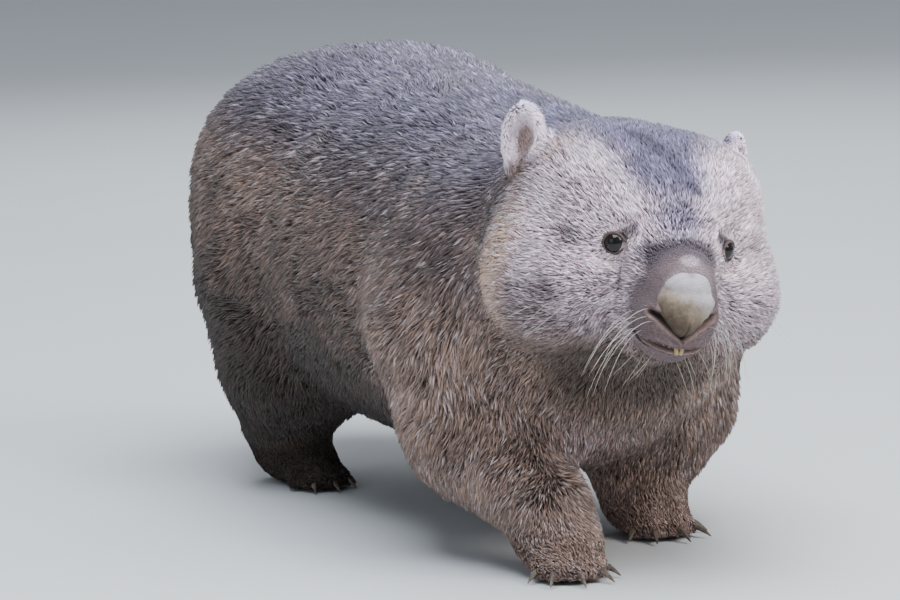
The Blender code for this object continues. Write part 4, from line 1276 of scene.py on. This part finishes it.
def tuft_sizes(points, where):
    """Length and width of the tufts at each point, and how many stand on a square metre."""
    length = np.full(len(points), sizes().body_hair)
    width = np.full(len(points), 0.00130)
    number = np.full(len(points), 1.0)
    face = sizes().face_hair
    table = [
        ("head", face, 0.00105, 2.3), ("snout", 0.0062, 0.00085, 3.2), ("legs", 0.0140, 0.0011, 1.3),
        ("paws", 0.0065, 0.0008, 2.0),
        ("muzzle", 0.0026, 0.00042, 7.0), ("eyes", 0.0042, 0.00055, 5.0), ("ears", 0.0076, 0.0007, 7.5),
    ]
    for name, long, wide, many in table:
        share = where[name]
        length += (long - length) * share
        width += (wide - width) * share
        number += (many - number) * share
    return length, width, number


def region_of(points, where):
    """The coat piece that each point belongs to."""
    left = points[:, 0] > 0
    y = points[:, 1]
    names = np.where(y < -0.085, "fore", np.where(y < 0.135, "mid", "rear")).astype("<U12")
    names = np.char.add(names, np.where(left, "_left", "_right"))
    names = np.where(where["head"] > 0.5, np.where(left, "head_left", "head_right"), names)
    names = np.where(where["muzzle"] > 0.5, "muzzle", names)
    return np.where(points[:, 2] < 0.045, "feet", names)


def grow_tufts(skin):
    """Draws the root of each tuft on the skin, closer together where the tufts are many, and the skin's normal there.
    """
    draw = np.random.default_rng(7)
    mesh = skin.data
    points = get_points(mesh)
    normals = get_points(mesh, "normal")
    triangles = triangles_of(mesh)
    corners = points[triangles]
    middle = corners.mean(1)
    area = np.linalg.norm(np.cross(corners[:, 1] - corners[:, 0], corners[:, 2] - corners[:, 0]), axis=1) / 2
    where = body_masks(middle)
    number = tuft_sizes(middle, where)[2]
    bare = np.empty(len(points) * 4, np.float32)
    mesh.color_attributes["bare"].data.foreach_get("color", bare)
    bare = bare.reshape(-1, 4)[triangles].mean(1)
    number = number * (1 - np.clip(2.5 * bare[:, 1] + 4 * bare[:, 2], 0, 1))
    number[middle[:, 2] < 0.004] = 0
    head = in_head(middle)
    pad = blob(head, (0, -0.112, -0.0165), (0.0240, 0.022, 0.0240), 0.95)
    number *= 1 - (pad > 0)
    eye_gap = both(head, (EYE_SIDE + 0.002, -0.060, 0.015), (0.0090, 0.0115, 0.0082), 0.9)
    number *= 1 - (eye_gap > 0)
    order = np.lexsort((middle[:, 2] // 0.01, middle[:, 0] // 0.01, middle[:, 1] // 0.01))
    weight = np.cumsum((area * number)[order])
    total = sizes().tufts
    marks = (np.arange(total) + draw.random(total)) / total * weight[-1]
    face = order[np.minimum(np.searchsorted(weight, marks), len(order) - 1)]
    first, second = draw.random(total), draw.random(total)
    over = first + second > 1
    first[over], second[over] = 1 - first[over], 1 - second[over]
    share = np.stack([1 - first - second, first, second], axis=1)
    root = (points[triangles[face]] * share[:, :, None]).sum(1)
    normal = (normals[triangles[face]] * share[:, :, None]).sum(1)
    normal /= np.linalg.norm(normal, axis=1)[:, None]
    return {"root": root, "normal": normal, "face": face, "share": share, "draw": draw}


def tuft_mesh(name, tufts, chosen, flat):
    """One mesh of closed, thin, bent tufts: a buried root, two widest points and a tip."""
    root, normal = tufts["root"][chosen], tufts["normal"][chosen]
    way, length, width, rise = (tufts[key][chosen] for key in ("way", "length", "width", "rise"))
    count = len(root)
    side = np.cross(normal, way)
    belly = root + way * (length * 0.40)[:, None] + normal * (rise * tufts["arch"][chosen])[:, None]
    tip = root + way * (length * 0.97)[:, None] + normal * rise[:, None]
    tip += side * (length * tufts["sway"][chosen])[:, None]
    half = (width / 2)[:, None]
    verts = np.stack([root - normal * 0.0006, belly + side * half, belly - side * half, tip], axis=1)
    verts[..., 2] = np.maximum(verts[..., 2], 0)
    pattern = np.array([(0, 2, 1), (3, 1, 2), (0, 1, 3), (0, 3, 2)])
    faces = (np.arange(count)[:, None, None] * 4 + pattern).reshape(-1, 3)
    mesh = bpy.data.meshes.new(name)
    mesh.vertices.add(count * 4)
    mesh.vertices.foreach_set("co", verts.astype(np.float32).ravel())
    mesh.loops.add(len(faces) * 3)
    mesh.loops.foreach_set("vertex_index", faces.astype(np.int32).ravel())
    mesh.polygons.add(len(faces))
    mesh.polygons.foreach_set("loop_start", np.arange(0, len(faces) * 3, 3, dtype=np.int32))
    mesh.update(calc_edges=True)
    mesh.shade_smooth()
    put_colours(mesh, "markings", np.repeat(tufts["mark"][chosen], 4, axis=0))
    strand = np.stack([
        np.tile([0.0, 0.5, 0.5, 1.0], count), np.repeat(tufts["chance"][chosen], 4),
        np.repeat(tufts["shade"][chosen], 4), np.ones(count * 4)], axis=1)
    put_colours(mesh, "strand", strand)
    spot = np.array([(-0.5, 0.0), (0.0, 0.5), (0.0, -0.5), (0.5, 0.0)]) * 0.003
    layer = mesh.uv_layers.new(name="OFBake")
    corner = (flat[:, None, :] + spot).reshape(-1, 2)[faces.ravel()]
    layer.uv.foreach_set("vector", corner.astype(np.float32).ravel())
    return mesh


def flat_roots(skin, tufts, chosen):
    """Unwraps the skin under one coat piece and gives each tuft its root's place on that map."""
    faces, at = np.unique(tufts["face"][chosen], return_inverse=True)
    triangles = triangles_of(skin.data)[faces]
    used, corner = np.unique(triangles, return_inverse=True)
    mesh = bpy.data.meshes.new("unwrap")
    mesh.from_pydata(get_points(skin.data)[used].tolist(), [], corner.reshape(-1, 3).tolist())
    obj = bpy.data.objects.new("unwrap", mesh)
    bpy.context.scene.collection.objects.link(obj)
    bpy.context.view_layer.objects.active = obj
    obj.select_set(True)
    bpy.ops.object.mode_set(mode="EDIT")
    bpy.ops.mesh.select_all(action="SELECT")
    bpy.ops.uv.smart_project(angle_limit=math.radians(66), island_margin=0.004)
    bpy.ops.object.mode_set(mode="OBJECT")
    found = np.empty(len(mesh.loops) * 2, np.float32)
    mesh.uv_layers.active.uv.foreach_get("vector", found)
    bpy.data.objects.remove(obj)
    flat = (found.reshape(-1, 3, 2)[at] * tufts["share"][chosen][:, :, None]).sum(1)
    return 0.003 + 0.994 * flat


def dress_tufts(tufts):
    """The sizes, lie and colours of every tuft."""
    draw, root, normal = tufts["draw"], tufts["root"], tufts["normal"]
    count = len(root)
    where = body_masks(root)
    length, width, _ = tuft_sizes(root, where)
    clump = noise(root, 0.017, 3)
    wave = noise(root, 0.045, 5)
    fine = noise(root, 0.006, 9)
    ears = where["ears"]
    way = coat_lie(root, normal)
    side = np.cross(normal, way)
    swing = (clump - 0.5) * 0.75 + (wave - 0.5) * 0.5 + (fine - 0.5) * 0.5 + draw.normal(0, 0.13, count)
    swing *= 1 - 0.5 * where["muzzle"]
    way = way * np.cos(swing)[:, None] + side * np.sin(swing)[:, None]
    tufts["way"] = way
    tufts["length"] = length * (0.72 + 0.40 * draw.random(count) + 0.25 * (clump - 0.5))
    tufts["width"] = width * (0.75 + 0.5 * draw.random(count))
    rise = coat_depth(root) * (0.42 + 0.72 * draw.random(count) + 0.3 * (fine - 0.5))
    head = in_head(root)
    stand = np.full(count, 0.16)
    for sign in SIDES.values():
        reach, outwards, *_ = from_ear(head, sign)
        facing_out = np.clip((normal @ np.array(head_turn()) * outwards).sum(1), 0, 1)
        here = ears * (head[:, 0] * sign > 0)
        stand += here * (0.03 + 0.10 * ramp(reach, 0.55, 0.95) * facing_out)
    tufts["rise"] = np.maximum(rise, tufts["length"] * stand)
    tufts["arch"] = 0.62 + 0.2 * draw.random(count)
    tufts["sway"] = draw.normal(0, 0.07, count)
    tufts["mark"] = markings(root, normal)
    chance = draw.random(count) * 0.8 + 0.3 * (noise(root, 0.012, 21) - 0.33)
    rim, cup, _ = ear_masks(root, normal)
    tufts["chance"] = np.clip(
        chance + 0.6 * rim + 0.20 * where["under_eye"] - 0.15 * cup - 0.30 * where["muzzle"], 0, 1)
    shade = 0.62 * draw.random(count) + 0.25 * clump + 0.20 * noise(root, 0.03, 31)
    shade += (0.52 - shade) * (0.50 * where["muzzle"] + 0.25 * where["head"])
    shade += 0.38 * rim + 0.12 * where["eyes"] + 0.25 * where["under_eye"]
    tufts["shade"] = np.clip(shade, 0, 1)


class WOMBAT_OT_coat(bpy.types.Operator):
    """Grow the coat as solid tufts that lie along the body"""
    bl_idname = "wombat.coat"
    bl_label = "Coat"

    def execute(self, context):
        skin = bpy.data.objects["skin"]
        tufts = grow_tufts(skin)
        dress_tufts(tufts)
        regions = region_of(tufts["root"], body_masks(tufts["root"]))
        material = hair_material()
        for region in sorted(set(regions)):
            chosen = np.nonzero(regions == region)[0]
            flat = flat_roots(skin, tufts, chosen)
            mesh = tuft_mesh(f"coat_{region}", tufts, chosen, flat)
            mesh.materials.append(material)
            new_piece(f"coat_{region}", mesh)
        return {"FINISHED"}


PIECES = [
    WOMBAT_OT_stage, WOMBAT_OT_skin, WOMBAT_OT_eyes, WOMBAT_OT_horn, WOMBAT_OT_whiskers, WOMBAT_OT_coat,
]


class WOMBAT_PT_panel(bpy.types.Panel):
    bl_idname = "WOMBAT_PT_panel"
    bl_label = "Wombat"
    bl_space_type = "VIEW_3D"
    bl_region_type = "UI"
    bl_category = "Wombat"

    def draw(self, context):
        for group in (sizes(), colours()):
            for name in group.bl_rna.properties.keys():
                if name not in ("rna_type", "name"):
                    self.layout.prop(group, name)
        for piece in PIECES:
            self.layout.operator(piece.bl_idname)


CLASSES = [WombatSizes, WombatColours, *PIECES, WOMBAT_PT_panel]


def register():
    for item in CLASSES:
        bpy.utils.register_class(item)
    bpy.types.Scene.wombat_sizes = bpy.props.PointerProperty(type=WombatSizes)
    bpy.types.Scene.wombat_colours = bpy.props.PointerProperty(type=WombatColours)


def unregister():
    del bpy.types.Scene.wombat_colours
    del bpy.types.Scene.wombat_sizes
    for item in reversed(CLASSES):
        bpy.utils.unregister_class(item)


def main():
    register()
    for piece in PIECES:
        getattr(bpy.ops.wombat, piece.bl_idname.split(".")[1])()


if __name__ == "__main__":
    main()
